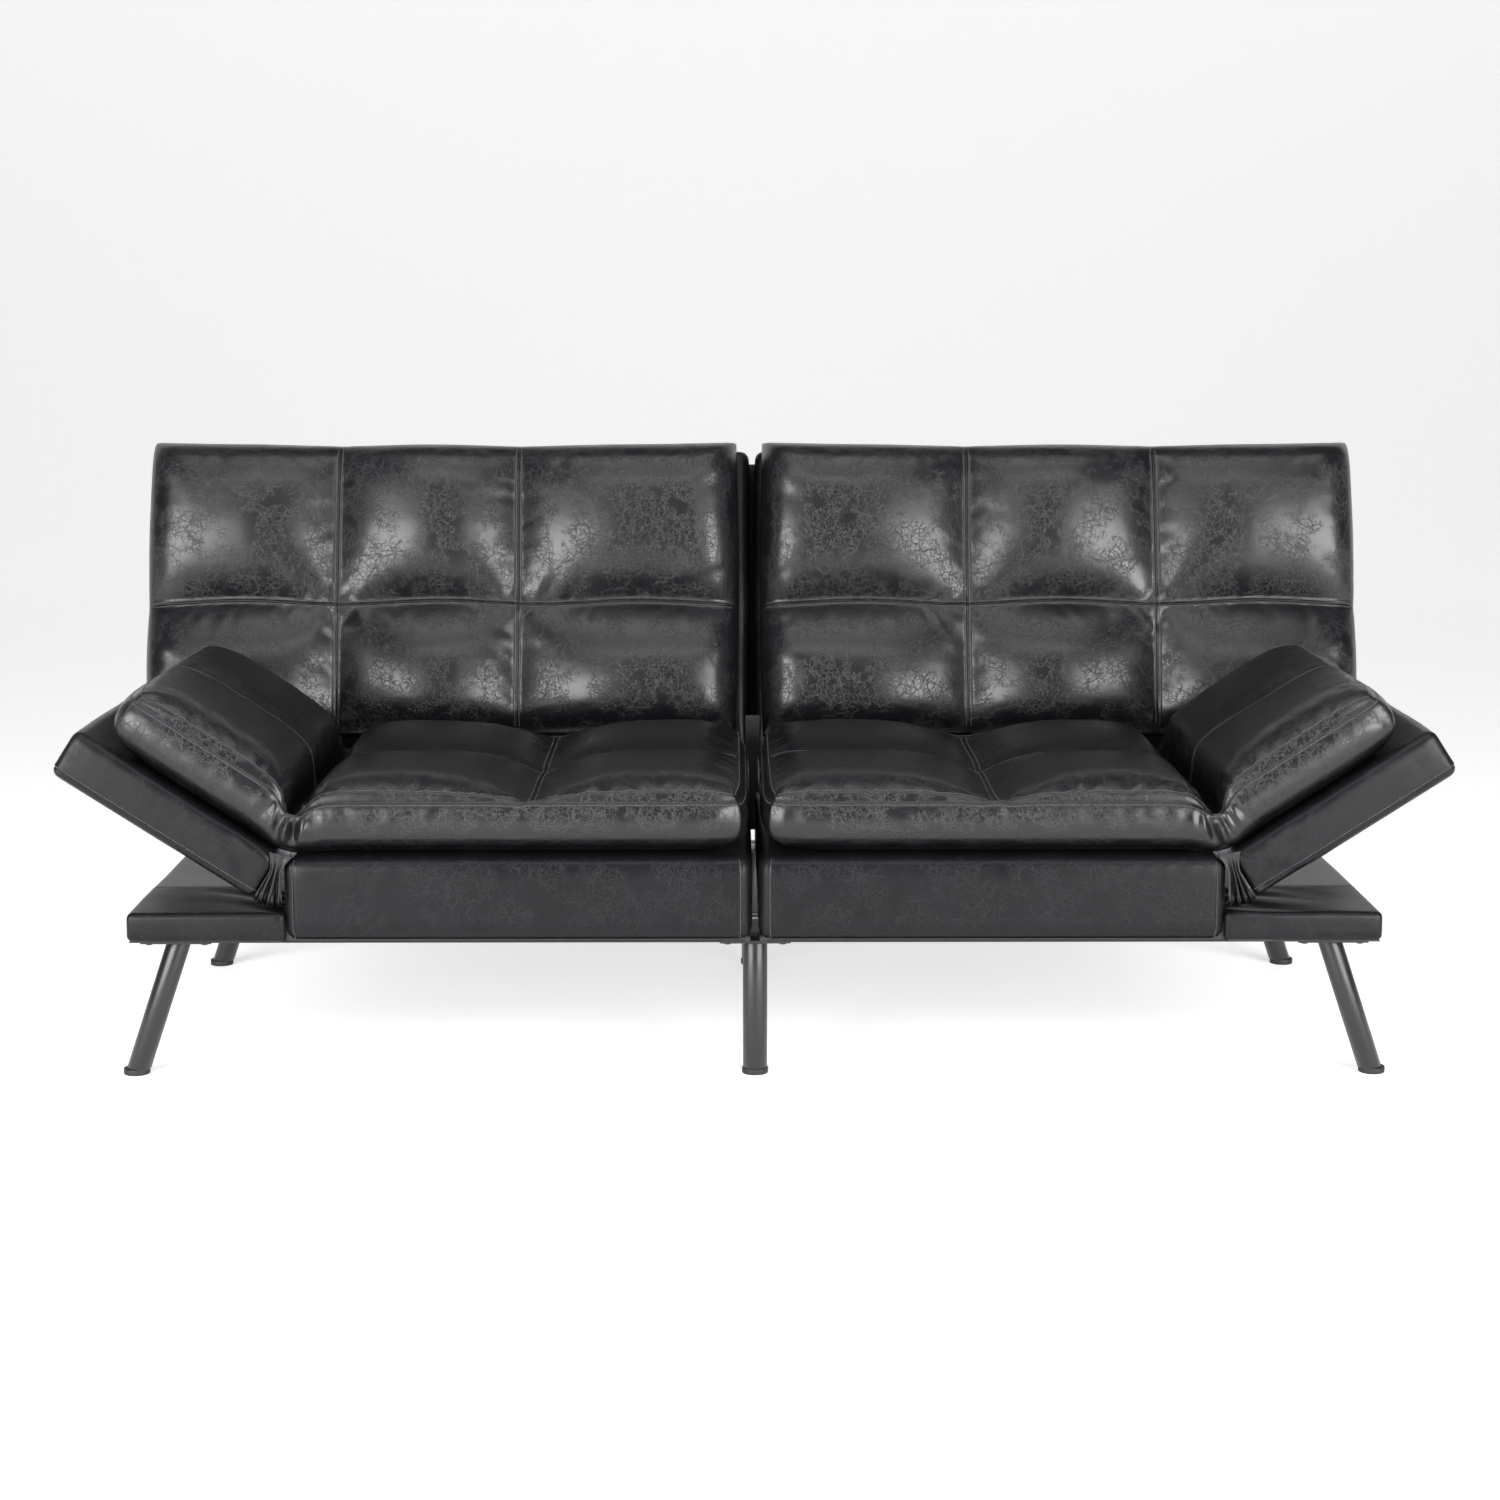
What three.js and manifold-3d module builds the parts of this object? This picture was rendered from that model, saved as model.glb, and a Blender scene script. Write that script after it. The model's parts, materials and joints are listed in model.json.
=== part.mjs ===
// Futon sofa bed: two seat halves bolted side by side, each with a folding arm and a tilting back.
// Millimetres, +Z up, front towards -Y, origin on the floor under the middle of the sofa.
import * as THREE from 'three';
import { mergeVertices } from 'three/addons/utils/BufferGeometryUtils.js';
import { RoundedBoxGeometry } from 'three/addons/geometries/RoundedBoxGeometry.js';
import Module from 'manifold-3d';

const wasm = await Module();
wasm.setup();

// Driving dimensions. Depths are measured back from the front face of the seat box.
const bedHalfWidth = 914; // half of the width of the backs
const seatHalfWidth = 608; // outer side of the seat box
const deckHalfWidth = 811; // outer side of the low side deck under the arm
const halfGap = 4; // from the middle of the sofa to either half
const seatDepth = 560;
const deckDepth = 680;
const baseBottom = 184;
const deckTop = 223;
const seatTop = 296;
const wall = 8; // board and cover of the upholstered shells
const tube = 25; // square tube of the seat frame
const fit = 0.4; // gap between pieces that touch

const armAngle = 33; // above flat, at rest
const armPivot = { x: 610, z: seatTop };
const armLength = 306;
const armDepth = 513;
const panelThickness = 68;

const backRecline = 16; // from upright, at rest
const backPivot = { y: 572, z: 336 };
const backOffset = backPivot.z - seatTop; // from the pivot to the front face of the back panel
const backLength = 472; // from the pivot up to the top of the panel
const backHalfWidth = 902;

const cushionHeight = 104;
const cushionSide = 24; // from an arm or back pivot to the nearest edge of a cushion

const legRadius = 16;
const legWall = 1.5;
const legSplay = 61; // how far a corner foot stands outside the top of its leg
const cornerFootX = 811;
const frontLegY = 40;
const rearLegY = 642;
const capHeight = 8;
const plateThickness = 4;

const hingePlate = 3;
const pinRadius = 4;
const boreRadius = 4.25;
const armDisc = 16;
const backDisc = 20;
const discSides = 24;

const cushionFront = -10; // the seat cushions overhang the box

const finishes = {
  leather: { color: '#1b1b1e', roughness: 0.36, metalness: 0 },
  lining: { color: '#151516', roughness: 0.9, metalness: 0 },
  framePaint: { color: '#202124', roughness: 0.5, metalness: 0.6 },
  legPaint: { color: '#141416', roughness: 0.38, metalness: 0.5 },
  zinc: { color: '#9a9da1', roughness: 0.35, metalness: 1 },
  plastic: { color: '#17171a', roughness: 0.55, metalness: 0 },
};

const sofa = new THREE.Group();

// Solids

function solid(geometry) {
  geometry.deleteAttribute('normal');
  geometry.deleteAttribute('uv');
  const merged = mergeVertices(geometry, 1e-3);
  return new wasm.Manifold(new wasm.Mesh({
    numProp: 3,
    vertProperties: new Float32Array(merged.attributes.position.array),
    triVerts: new Uint32Array(merged.index.array),
  }));
}

function block([x0, x1], [y0, y1], [z0, z1]) {
  const box = new THREE.BoxGeometry(x1 - x0, y1 - y0, z1 - z0);
  return solid(box.translate((x0 + x1) / 2, (y0 + y1) / 2, (z0 + z1) / 2));
}

function softBlock([x0, x1], [y0, y1], [z0, z1], radius) {
  const box = new RoundedBoxGeometry(x1 - x0, y1 - y0, z1 - z0, 1, radius);
  return solid(box.translate((x0 + x1) / 2, (y0 + y1) / 2, (z0 + z1) / 2));
}

// A closed outline through corners [u, v, radius], each corner rounded to its radius.
function outline(corners) {
  const shape = new THREE.Shape();
  corners.forEach(([u, v, radius], i) => {
    const corner = new THREE.Vector2(u, v);
    const last = corners[(i + corners.length - 1) % corners.length];
    const next = corners[(i + 1) % corners.length];
    const start = new THREE.Vector2(last[0], last[1]).sub(corner).setLength(radius).add(corner);
    const end = new THREE.Vector2(next[0], next[1]).sub(corner).setLength(radius).add(corner);
    if (i === 0) shape.moveTo(start.x, start.y);
    else shape.lineTo(start.x, start.y);
    shape.quadraticCurveTo(u, v, end.x, end.y);
  });
  shape.closePath();
  return shape;
}

const axisBases = {
  x: [new THREE.Vector3(0, 1, 0), new THREE.Vector3(0, 0, 1), new THREE.Vector3(1, 0, 0)],
  y: [new THREE.Vector3(-1, 0, 0), new THREE.Vector3(0, 0, 1), new THREE.Vector3(0, 1, 0)],
  z: [new THREE.Vector3(1, 0, 0), new THREE.Vector3(0, 1, 0), new THREE.Vector3(0, 0, 1)],
};

// An outline pushed along an axis: (y, z) along x, (-x, z) along y, (x, y) along z.
function prism(axis, corners, [from, to]) {
  const outlined = outline(corners);
  const body = new THREE.ExtrudeGeometry(outlined, {
    depth: to - from, bevelEnabled: false, curveSegments: 4,
  });
  body.translate(0, 0, from);
  return solid(body.applyMatrix4(new THREE.Matrix4().makeBasis(...axisBases[axis])));
}

function rod(axis, radius, [a, b], [from, to], sides = 12) {
  const body = new THREE.CylinderGeometry(radius, radius, to - from, sides);
  const middle = (from + to) / 2;
  if (axis === 'x') body.rotateZ(Math.PI / 2).translate(middle, a, b);
  if (axis === 'y') body.translate(a, middle, b);
  if (axis === 'z') body.rotateX(Math.PI / 2).translate(a, b, middle);
  return solid(body);
}

function joined(pieces) {
  return pieces.reduce((whole, piece) => whole.add(piece));
}

function geometryOf(body) {
  const { vertProperties, triVerts } = body.getMesh();
  const geometry = new THREE.BufferGeometry();
  geometry.setAttribute('position', new THREE.BufferAttribute(new Float32Array(vertProperties), 3));
  geometry.setIndex(new THREE.BufferAttribute(new Uint32Array(triVerts), 1));
  return geometry;
}

// The left half is the right half seen in a mirror, so its triangles are turned round.
function mirrored(geometry) {
  geometry.scale(-1, 1, 1);
  const index = geometry.index.array;
  for (let i = 0; i < index.length; i += 3) [index[i], index[i + 1]] = [index[i + 1], index[i]];
  return geometry;
}

function place(group, name, finish, body, side = 1) {
  const geometry = side > 0 ? geometryOf(body) : mirrored(geometryOf(body));
  geometry.computeVertexNormals();
  const mesh = new THREE.Mesh(geometry, new THREE.MeshStandardMaterial(finishes[finish]));
  mesh.name = name;
  group.add(mesh);
}

// Hinge layout of the right half. Each hinge has a fixed plate on the seat frame's post, and a
// moving plate beside it on the arm's or the back's frame.

const railFront = 10; // front of the seat frame
const railRear = 550; // rear of its upper grid
const postFaces = { armFront: railFront + tube, armRear: 484, backInner: 14 + tube, backOuter: 571 };

// toward is the side of the post that the hinge stands on.
function hingeSpans(postFace, toward) {
  const spans = {};
  let at = postFace;
  for (const part of ['bracket', 'leaf']) {
    const near = at + toward * fit;
    const far = near + toward * hingePlate;
    spans[part] = [Math.min(near, far), Math.max(near, far)];
    at = far;
  }
  spans.frameEdge = at + toward * fit;
  spans.rivet = [Math.min(postFace, at), Math.max(postFace, at)];
  spans.slot = [spans.rivet[0] - 3.5, spans.rivet[1] + 3.5];
  return spans;
}

const hinges = {
  armFront: hingeSpans(postFaces.armFront, 1),
  armRear: hingeSpans(postFaces.armRear, -1),
  backInner: hingeSpans(postFaces.backInner, 1),
  backOuter: hingeSpans(postFaces.backOuter, -1),
};

// A rivet with a head on both sides of the two plates.
function rivet(axis, [a, b], [from, to]) {
  const head = 2;
  return joined([
    rod(axis, pinRadius, [a, b], [from - head, to + head]),
    rod(axis, pinRadius * 2, [a, b], [from - head, from - 0.1]),
    rod(axis, pinRadius * 2, [a, b], [to + fit, to + head]),
  ]);
}

function armBracket({ bracket }) {
  const { x, z } = armPivot;
  return joined([
    rod('y', armDisc, [x, z], bracket, discSides),
    block([597, seatHalfWidth], bracket, [228, z]),
    block([572, seatHalfWidth], bracket, [228, 260]),
  ]).subtract(rod('y', boreRadius, [x, z], [bracket[0] - 1, bracket[1] + 1]));
}

// In the arm's frame: x along the arm, z out of its upper face.
function armLeaf({ leaf }) {
  return joined([
    rod('y', armDisc, [0, 0], leaf, discSides),
    block([2, 22], leaf, [-46, 4]),
    block([10, 120], leaf, [-46, -24]),
  ]).subtract(rod('y', boreRadius, [0, 0], [leaf[0] - 1, leaf[1] + 1]));
}

function backBracket({ bracket }) {
  const { y, z } = backPivot;
  return joined([
    rod('x', backDisc, [y, z], bracket, discSides),
    block(bracket, [railRear + 1, y + 3], [228, z]),
    block(bracket, [526, y + 3], [228, 260]),
  ]).subtract(rod('x', boreRadius, [y, z], [bracket[0] - 1, bracket[1] + 1]));
}

// In the back's frame: z up the back, y out of its rear.
function backLeaf({ leaf }) {
  return joined([
    rod('x', backDisc, [0, 0], leaf, discSides),
    block(leaf, [0, 62], [5, 20]),
    block(leaf, [61, 85], [5, 110]),
  ]).subtract(rod('x', boreRadius, [0, 0], [leaf[0] - 1, leaf[1] + 1]));
}

// Base

const boltHeight = 197;
const boltDepths = { front: 100, rear: 600 };

function boltHoles(body) {
  for (const y of Object.values(boltDepths)) {
    body = body.subtract(rod('x', pinRadius + 0.6, [y, boltHeight], [0, 60]));
  }
  return body;
}

function seatFrame() {
  const low = [baseBottom + fit, baseBottom + fit + tube];
  const high = [262, 262 + tube];
  const pieces = [];
  const railRearLow = deckDepth - wall - fit * 2 - tube;
  for (const y of [railFront, 150, 290, 430, 540, railRearLow]) {
    pieces.push(block([14, 800], [y, y + tube], low));
  }
  for (const x of [14, 192, 382, 571, 775]) {
    pieces.push(block([x, x + tube], [railFront, railRearLow + tube], low));
  }
  for (const y of [railFront, 170, 330, 484, railRear - tube]) {
    pieces.push(block([14, 596], [y, y + tube], high));
  }
  for (const x of [14, 571]) {
    pieces.push(block([x, x + tube], [railFront, railRear], high));
    for (const y of [railFront, 484, railRear - tube]) {
      pieces.push(block([x, x + tube], [y, y + tube], [low[0], high[1]]));
    }
  }
  return boltHoles(joined(pieces));
}

// An upholstered board tray, open below. Its sides towards the frame of the deck stop at the deck.
function seatBox() {
  const outer = softBlock([halfGap, seatHalfWidth], [0, seatDepth], [baseBottom - 20, seatTop], 7);
  const inside = [
    block([halfGap + wall, seatHalfWidth - wall], [wall, seatDepth - wall], [100, seatTop - wall]),
    block([0, 700], [-1, 700], [100, baseBottom]),
    block([seatHalfWidth - wall - 1, 700], [wall, 700], [100, deckTop + 1]),
    block([halfGap + wall, 700], [seatDepth - wall - 1, 700], [100, deckTop + 1]),
  ];
  for (const name of ['armFront', 'armRear']) {
    inside.push(block([591, 700], hinges[name].slot, [deckTop + 2, 400]));
  }
  for (const name of ['backInner', 'backOuter']) {
    inside.push(block(hinges[name].slot, [railRear, 700], [deckTop + 2, 400]));
  }
  return boltHoles(outer.subtract(joined(inside)));
}

// A low L-shaped tray beside and behind the seat box, open below and towards the box.
function wingDeck() {
  const beside = seatHalfWidth + fit;
  const behind = seatDepth + fit;
  const outer = softBlock([halfGap, deckHalfWidth], [0, deckDepth], [baseBottom - 20, deckTop], 6);
  const inside = [
    block([halfGap + wall, deckHalfWidth - wall], [wall, deckDepth - wall], [100, deckTop - wall]),
    block([0, beside], [-1, behind], [100, 400]),
    block([0, 900], [-1, 900], [100, baseBottom]),
  ];
  return boltHoles(outer.subtract(joined(inside)));
}

// The side and the rear are cut back so that the arm and the back can rise past them.
function seatCushion() {
  const top = seatTop + cushionHeight;
  const bottom = seatTop + 1;
  const outerBottom = armPivot.x - cushionSide;
  const outerTop = armPivot.x - 86;
  const rearBottom = backPivot.y - cushionSide;
  const across = [
    [-10, bottom, 14], [-10, top, 34], [-outerTop, top - 2, 26], [-outerBottom, bottom, 6],
  ];
  const along = [
    [0, bottom, 12], [rearBottom, bottom, 4], [rearBottom, 335, 10],
    [508, top - 4, 18], [cushionFront + 4, top, 36], [cushionFront, bottom + 50, 14],
  ];
  const plan = [
    [9, -12, 30], [outerBottom + 2, -12, 12], [outerBottom + 2, rearBottom + 2, 12],
    [9, rearBottom + 2, 20],
  ];
  return prism('y', across, [-40, 600])
    .intersect(prism('x', along, [0, 700]))
    .intersect(prism('z', plan, [200, 500]));
}

// Arm, in its own frame: the pivot is the origin, x runs out along the arm and z out of its top.

function armFrame() {
  const thick = [-46, -24];
  const start = hinges.armFront.frameEdge;
  const end = hinges.armRear.frameEdge;
  const pieces = [start, end - 20].map((y) => block([16, 290], [y, y + 20], thick));
  for (const x of [16, 150, 268]) pieces.push(block([x, x + 22], [start, end], thick));
  return joined(pieces);
}

function armPanel() {
  const outer = softBlock([2, armLength], [2, armDepth], [-panelThickness, 0], 9);
  const inside = [block([13, armLength - 12], [13, armDepth - 12], [-50, -20])];
  for (const name of ['armFront', 'armRear']) {
    inside.push(block([-5, 24], hinges[name].slot, [-50, 5]));
  }
  return outer.subtract(joined(inside));
}

function armCushion() {
  const profile = [
    [-cushionSide, 1, 6], [-86, cushionHeight - 4, 26], [-278, 92, 44], [-278, 1, 20],
  ];
  const plan = [[10, -8, 14], [282, -8, 34], [282, armDepth + 1, 34], [10, armDepth + 1, 14]];
  return prism('y', profile, [-40, 600]).intersect(prism('z', plan, [-50, 200]));
}

// Back, in its own frame: the pivot is the origin, z runs up the back and y out of its rear.

function backFrame() {
  const thick = [backOffset + 22, backOffset + 46];
  const inner = hinges.backInner.frameEdge;
  const outer = hinges.backOuter.frameEdge - 24;
  const pieces = [
    block([inner, 880], thick, [116, 140]),
    block([inner, 880], thick, [272, 296]),
    block([inner, 880], thick, [430, 454]),
  ];
  for (const x of [inner, outer]) pieces.push(block([x, x + 24], thick, [18, 454]));
  for (const x of [211, 375, 698, 856]) pieces.push(block([x, x + 24], thick, [116, 454]));
  return joined(pieces);
}

function backPanel() {
  const rear = backOffset + panelThickness;
  const outer = softBlock([5, backHalfWidth], [backOffset, rear], [5, backLength], 9);
  const inside = [
    block([17, backHalfWidth - 12], [backOffset + 12, rear - 12], [16, backLength - 12]),
  ];
  for (const name of ['backInner', 'backOuter']) {
    inside.push(block(hinges[name].slot, [0, rear - 12], [0, 24]));
  }
  return outer.subtract(joined(inside));
}

function backRearCover() {
  const face = backOffset + panelThickness + fit;
  return block([22, backHalfWidth - 17], [face, face + 1.5], [22, backLength - 17]);
}

function backCushion() {
  const behind = backOffset - 1;
  const profile = [
    [behind, 25, 6], [behind, 482, 34], [-44, 474, 40], [-50, 46, 30],
  ];
  const front = [
    [-18, 10, 30], [-12, 240, 60], [-16, 500, 22],
    [-(bedHalfWidth - 8), 500, 26], [-bedHalfWidth, 240, 60], [-(bedHalfWidth - 4), 10, 30],
  ];
  return prism('x', profile, [0, 1000]).intersect(prism('y', front, [-100, 100]));
}

// Legs

// A tube with a welded plate. The tube leans out by lean from its top to the floor.
function leanedRod(radius, lean, x, y, [from, to], sides = 20) {
  const body = new THREE.CylinderGeometry(radius, radius, to - from, sides).rotateX(Math.PI / 2);
  body.translate(0, 0, (from + to) / 2);
  const slope = lean / baseBottom;
  const stretch = Math.hypot(1, slope); // keeps the section round across the leaning axis
  body.scale(stretch, 1, 1);
  const shear = new THREE.Matrix4().set(1, 0, -slope, x, 0, 1, 0, y, 0, 0, 1, 0, 0, 0, 0, 1);
  return solid(body.applyMatrix4(shear));
}

function leg(lean, x, y) {
  const plateTop = baseBottom - fit;
  const plateBottom = plateTop - plateThickness;
  const topX = x - lean;
  const reach = lean ? { inner: topX - 46, outer: topX + 46 } : { inner: -46, outer: 46 };
  return joined([
    leanedRod(legRadius, lean, x, y, [capHeight + fit, plateTop - 1]),
    block([reach.inner, reach.outer], [y - 28, y + 28], [plateBottom, plateTop]),
  ]).subtract(leanedRod(legRadius - legWall, lean, x, y, [0, plateBottom - 2]));
}

function footCap(lean, x, y) {
  return joined([
    leanedRod(legRadius + 1.2, lean, x, y, [0, capHeight]),
    leanedRod(legRadius - legWall - fit, lean, x, y, [capHeight - 1, 34]),
  ]);
}

function frameBolt(y) {
  const near = 14 + tube + fit;
  return joined([
    rod('x', pinRadius, [y, boltHeight], [-near - 8, near + 5]),
    rod('x', 7.5, [y, boltHeight], [near, near + 5], 6),
    rod('x', 7.5, [y, boltHeight], [-near - 6, -near], 6),
  ]);
}

// Assembly

function buildHalf(side, word) {
  const add = (group, name, finish, body) => place(group, `${name}_${word}`, finish, body, side);

  const arm = new THREE.Group();
  arm.position.set(side * armPivot.x, 0, armPivot.z);
  arm.rotation.y = -side * THREE.MathUtils.degToRad(armAngle);
  const back = new THREE.Group();
  back.position.set(0, backPivot.y, backPivot.z);
  back.rotation.x = -THREE.MathUtils.degToRad(backRecline);
  sofa.add(arm, back);

  add(sofa, 'seat_frame', 'framePaint', seatFrame());
  add(sofa, 'seat_box', 'leather', seatBox());
  add(sofa, 'wing_deck', 'leather', wingDeck());
  add(sofa, 'seat_cushion', 'leather', seatCushion());
  add(arm, 'arm_frame', 'framePaint', armFrame());
  add(arm, 'arm_panel', 'leather', armPanel());
  add(arm, 'arm_cushion', 'leather', armCushion());
  add(back, 'back_frame', 'framePaint', backFrame());
  add(back, 'back_panel', 'leather', backPanel());
  add(back, 'back_rear_cover', 'lining', backRearCover());
  add(back, 'back_cushion', 'leather', backCushion());

  for (const [end, key] of [['front', 'armFront'], ['rear', 'armRear']]) {
    const spans = hinges[key];
    add(sofa, `arm_hinge_${end}_bracket`, 'zinc', armBracket(spans));
    add(arm, `arm_hinge_${end}_leaf`, 'zinc', armLeaf(spans));
    add(sofa, `arm_hinge_${end}_rivet`, 'zinc', rivet('y', [armPivot.x, armPivot.z], spans.rivet));
  }
  for (const [end, key] of [['inner', 'backInner'], ['outer', 'backOuter']]) {
    const spans = hinges[key];
    add(sofa, `back_hinge_${end}_bracket`, 'zinc', backBracket(spans));
    add(back, `back_hinge_${end}_leaf`, 'zinc', backLeaf(spans));
    add(sofa, `back_hinge_${end}_rivet`, 'zinc', rivet('x', [backPivot.y, backPivot.z], spans.rivet));
  }
}

buildHalf(1, 'right');
buildHalf(-1, 'left');

for (const [row, y] of [['front', frontLegY], ['rear', rearLegY]]) {
  for (const [word, side, lean, x] of [
    ['right', 1, legSplay, cornerFootX], ['left', -1, legSplay, cornerFootX], ['centre', 1, 0, 0],
  ]) {
    place(sofa, `leg_${row}_${word}`, 'legPaint', leg(lean, x, y), side);
    place(sofa, `foot_cap_${row}_${word}`, 'plastic', footCap(lean, x, y), side);
  }
  place(sofa, `frame_bolt_${row}`, 'zinc', frameBolt(boltDepths[row]));
}

// Depths are drawn from the front face of the seat box, and the finished sofa is centred in depth.
const bounds = new THREE.Box3().setFromObject(sofa, true);
sofa.position.y = -(bounds.min.y + bounds.max.y) / 2;

const part = new THREE.Group();
part.add(sofa);
export default part;
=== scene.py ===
import json
import math
import random

import bmesh
import bpy
import numpy as np
from mathutils import Matrix, Vector


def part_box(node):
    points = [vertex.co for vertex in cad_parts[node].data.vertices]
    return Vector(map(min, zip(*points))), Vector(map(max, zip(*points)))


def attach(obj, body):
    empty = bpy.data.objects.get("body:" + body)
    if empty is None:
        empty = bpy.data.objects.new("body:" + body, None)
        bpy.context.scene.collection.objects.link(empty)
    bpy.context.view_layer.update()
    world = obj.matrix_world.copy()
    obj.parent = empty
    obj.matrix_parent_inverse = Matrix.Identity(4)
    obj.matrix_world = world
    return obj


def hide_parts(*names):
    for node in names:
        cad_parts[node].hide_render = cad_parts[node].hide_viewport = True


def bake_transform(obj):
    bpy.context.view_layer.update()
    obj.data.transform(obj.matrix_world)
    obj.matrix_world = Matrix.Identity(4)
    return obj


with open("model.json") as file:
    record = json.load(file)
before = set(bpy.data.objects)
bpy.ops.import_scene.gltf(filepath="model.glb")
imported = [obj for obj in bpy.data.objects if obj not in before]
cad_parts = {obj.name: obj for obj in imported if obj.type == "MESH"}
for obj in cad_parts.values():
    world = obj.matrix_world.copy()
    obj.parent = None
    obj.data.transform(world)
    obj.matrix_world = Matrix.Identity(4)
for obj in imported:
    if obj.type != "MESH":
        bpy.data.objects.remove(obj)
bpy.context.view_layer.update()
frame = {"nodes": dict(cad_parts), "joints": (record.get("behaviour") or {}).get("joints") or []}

scene = bpy.context.scene
joints = {joint["name"]: joint for joint in frame["joints"]}
armPivot = Vector(joints["arm_right_fold"]["pos_m"])
backPivot = Vector(joints["back_right_recline"]["pos_m"])
boxLow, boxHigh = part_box("seat_box_right")
deckLow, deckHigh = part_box("wing_deck_right")
baseFront = boxLow.y  # the front face of the base, from which depths are counted
armAngle = math.radians(33)
backAngle = math.radians(16)
sides = ((1, "right"), (-1, "left"))
mm = 0.001


# places on the folding parts; the left half is the right half with x turned over
def onArm(c, y, h):
    x = armPivot.x + c * math.cos(armAngle) - h * math.sin(armAngle)
    return Vector((x, y, armPivot.z + c * math.sin(armAngle) + h * math.cos(armAngle)))


def onBack(x, s, n):
    y = backPivot.y + s * math.sin(backAngle) - n * math.cos(backAngle)
    return Vector((x, y, backPivot.z + s * math.cos(backAngle) + n * math.sin(backAngle)))


armMatrix = Matrix.Translation((armPivot.x, 0, armPivot.z)) @ Matrix.Rotation(-armAngle, 4, "Y")
backMatrix = Matrix.Translation((0, backPivot.y, backPivot.z)) @ Matrix.Rotation(-backAngle, 4, "X")
mirrorMatrix = Matrix.Scale(-1, 4, (1, 0, 0))


def hexColour(code):
    def linear(value):
        return value / 12.92 if value <= 0.04045 else ((value + 0.055) / 1.055) ** 2.4
    return tuple(linear(int(code[i:i + 2], 16) / 255) for i in (1, 3, 5)) + (1.0,)


def addNode(tree, kind, values=None, links=None, **settings):
    node = tree.nodes.new(kind)
    for name, value in settings.items():
        setattr(node, name, value)
    for name, value in (values or {}).items():
        node.inputs[name].default_value = value
    for name, socket in (links or {}).items():
        tree.links.new(socket, node.inputs[name])
    return node


def newMaterial(name, values):
    material = bpy.data.materials.new(name)
    material.use_nodes = True
    shader = material.node_tree.nodes["Principled BSDF"]
    for key, value in values.items():
        shader.inputs[key].default_value = value
    return material, material.node_tree, shader


def meshPiece(name, verts, faces, material):
    mesh = bpy.data.meshes.new(name)
    mesh.from_pydata([tuple(v) for v in verts], [], [tuple(f) for f in faces])
    mesh.update()
    piece = bpy.data.objects.new(name, mesh)
    scene.collection.objects.link(piece)
    mesh.materials.append(material)
    mesh.shade_smooth()
    return piece


def pick(piece):
    bpy.ops.object.select_all(action="DESELECT")
    piece.select_set(True)
    bpy.context.view_layer.objects.active = piece


def applyModifiers(piece):
    pick(piece)
    for modifier in list(piece.modifiers):
        bpy.ops.object.modifier_apply(modifier=modifier.name)


def pickIn(piece, kind, wanted):
    # leaves the piece in edit mode with only the wanted vertices, edges or faces selected
    bpy.ops.object.mode_set(mode="EDIT")
    bpy.ops.mesh.select_all(action="DESELECT")
    bpy.ops.object.mode_set(mode="OBJECT")
    for part in getattr(piece.data, kind):
        part.select = wanted(part)
    bpy.ops.object.mode_set(mode="EDIT")


def giveWall(piece, thickness):
    wall = piece.modifiers.new("wall", "SOLIDIFY")
    wall.thickness, wall.offset = thickness, 0
    applyModifiers(piece)


def settle(piece, matrix=None, flip=False):
    # moves the mesh to its place, turns a mirrored one right side out, and keeps the place at
    # rest for the leather's pattern
    if matrix is not None:
        piece.data.transform(matrix)
    if flip:
        piece.data.flip_normals()
    mesh = piece.data
    places = np.zeros(len(mesh.vertices) * 3, np.float32)
    mesh.vertices.foreach_get("co", places)
    attribute = mesh.attributes.get("restPlace")
    if attribute is None:
        attribute = mesh.attributes.new("restPlace", "FLOAT_VECTOR", "POINT")
    attribute.data.foreach_set("vector", places)
    return piece


cameraView = {"lens": 65.43, "distance": 3.433, "height": 0.995, "aside": -0.026, "pitch": 9.25,
              "yaw": -0.32}
bpy.ops.object.camera_add(
    location=(cameraView["aside"], baseFront - cameraView["distance"], cameraView["height"]),
    rotation=(math.radians(90 - cameraView["pitch"]), 0, math.radians(cameraView["yaw"])))
camera = bpy.context.object
camera.data.lens = cameraView["lens"]
camera.data.sensor_width = 36
scene.camera = camera

studio = {"floorColour": "#e6e6e5", "worldColour": "#f4f6fa", "worldStrength": 0.1,
          "floorGlow": 0.56, "floorSize": (26, 20), "wallHeight": 9, "sweepRadius": 4.0}
world = bpy.data.worlds.new("studio")
world.use_nodes = True
world.node_tree.nodes["Background"].inputs["Color"].default_value = hexColour(studio["worldColour"])
world.node_tree.nodes["Background"].inputs["Strength"].default_value = studio["worldStrength"]
scene.world = world
scene.view_settings.view_transform = "Standard"

softboxes = {  # place, the point that it faces, width, height, watts
    "softbox_left": ((-2.4, baseFront - 2.5, 1.1), (-0.2, 0, 0.5), 2.4, 2.0, 175),
    "softbox_right": ((2.4, baseFront - 2.5, 1.1), (0.2, 0, 0.5), 2.4, 2.0, 175),
    "softbox_over": ((0, baseFront - 1.9, 3.0), (0, baseFront, 0.3), 3.2, 0.5, 26),
    "softbox_top": ((0, -0.6, 3.2), (0, 0, 0.3), 3.0, 1.6, 36),
}
for name, (place, aim, width, height, power) in softboxes.items():
    bpy.ops.object.light_add(type="AREA", location=place)
    lamp = bpy.context.object
    lamp.name = name
    lamp.data.shape = "RECTANGLE"
    lamp.data.size, lamp.data.size_y = width, height
    lamp.data.energy = power
    lamp.rotation_euler = (Vector(aim) - Vector(place)).to_track_quat("-Z", "Y").to_euler()

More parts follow.
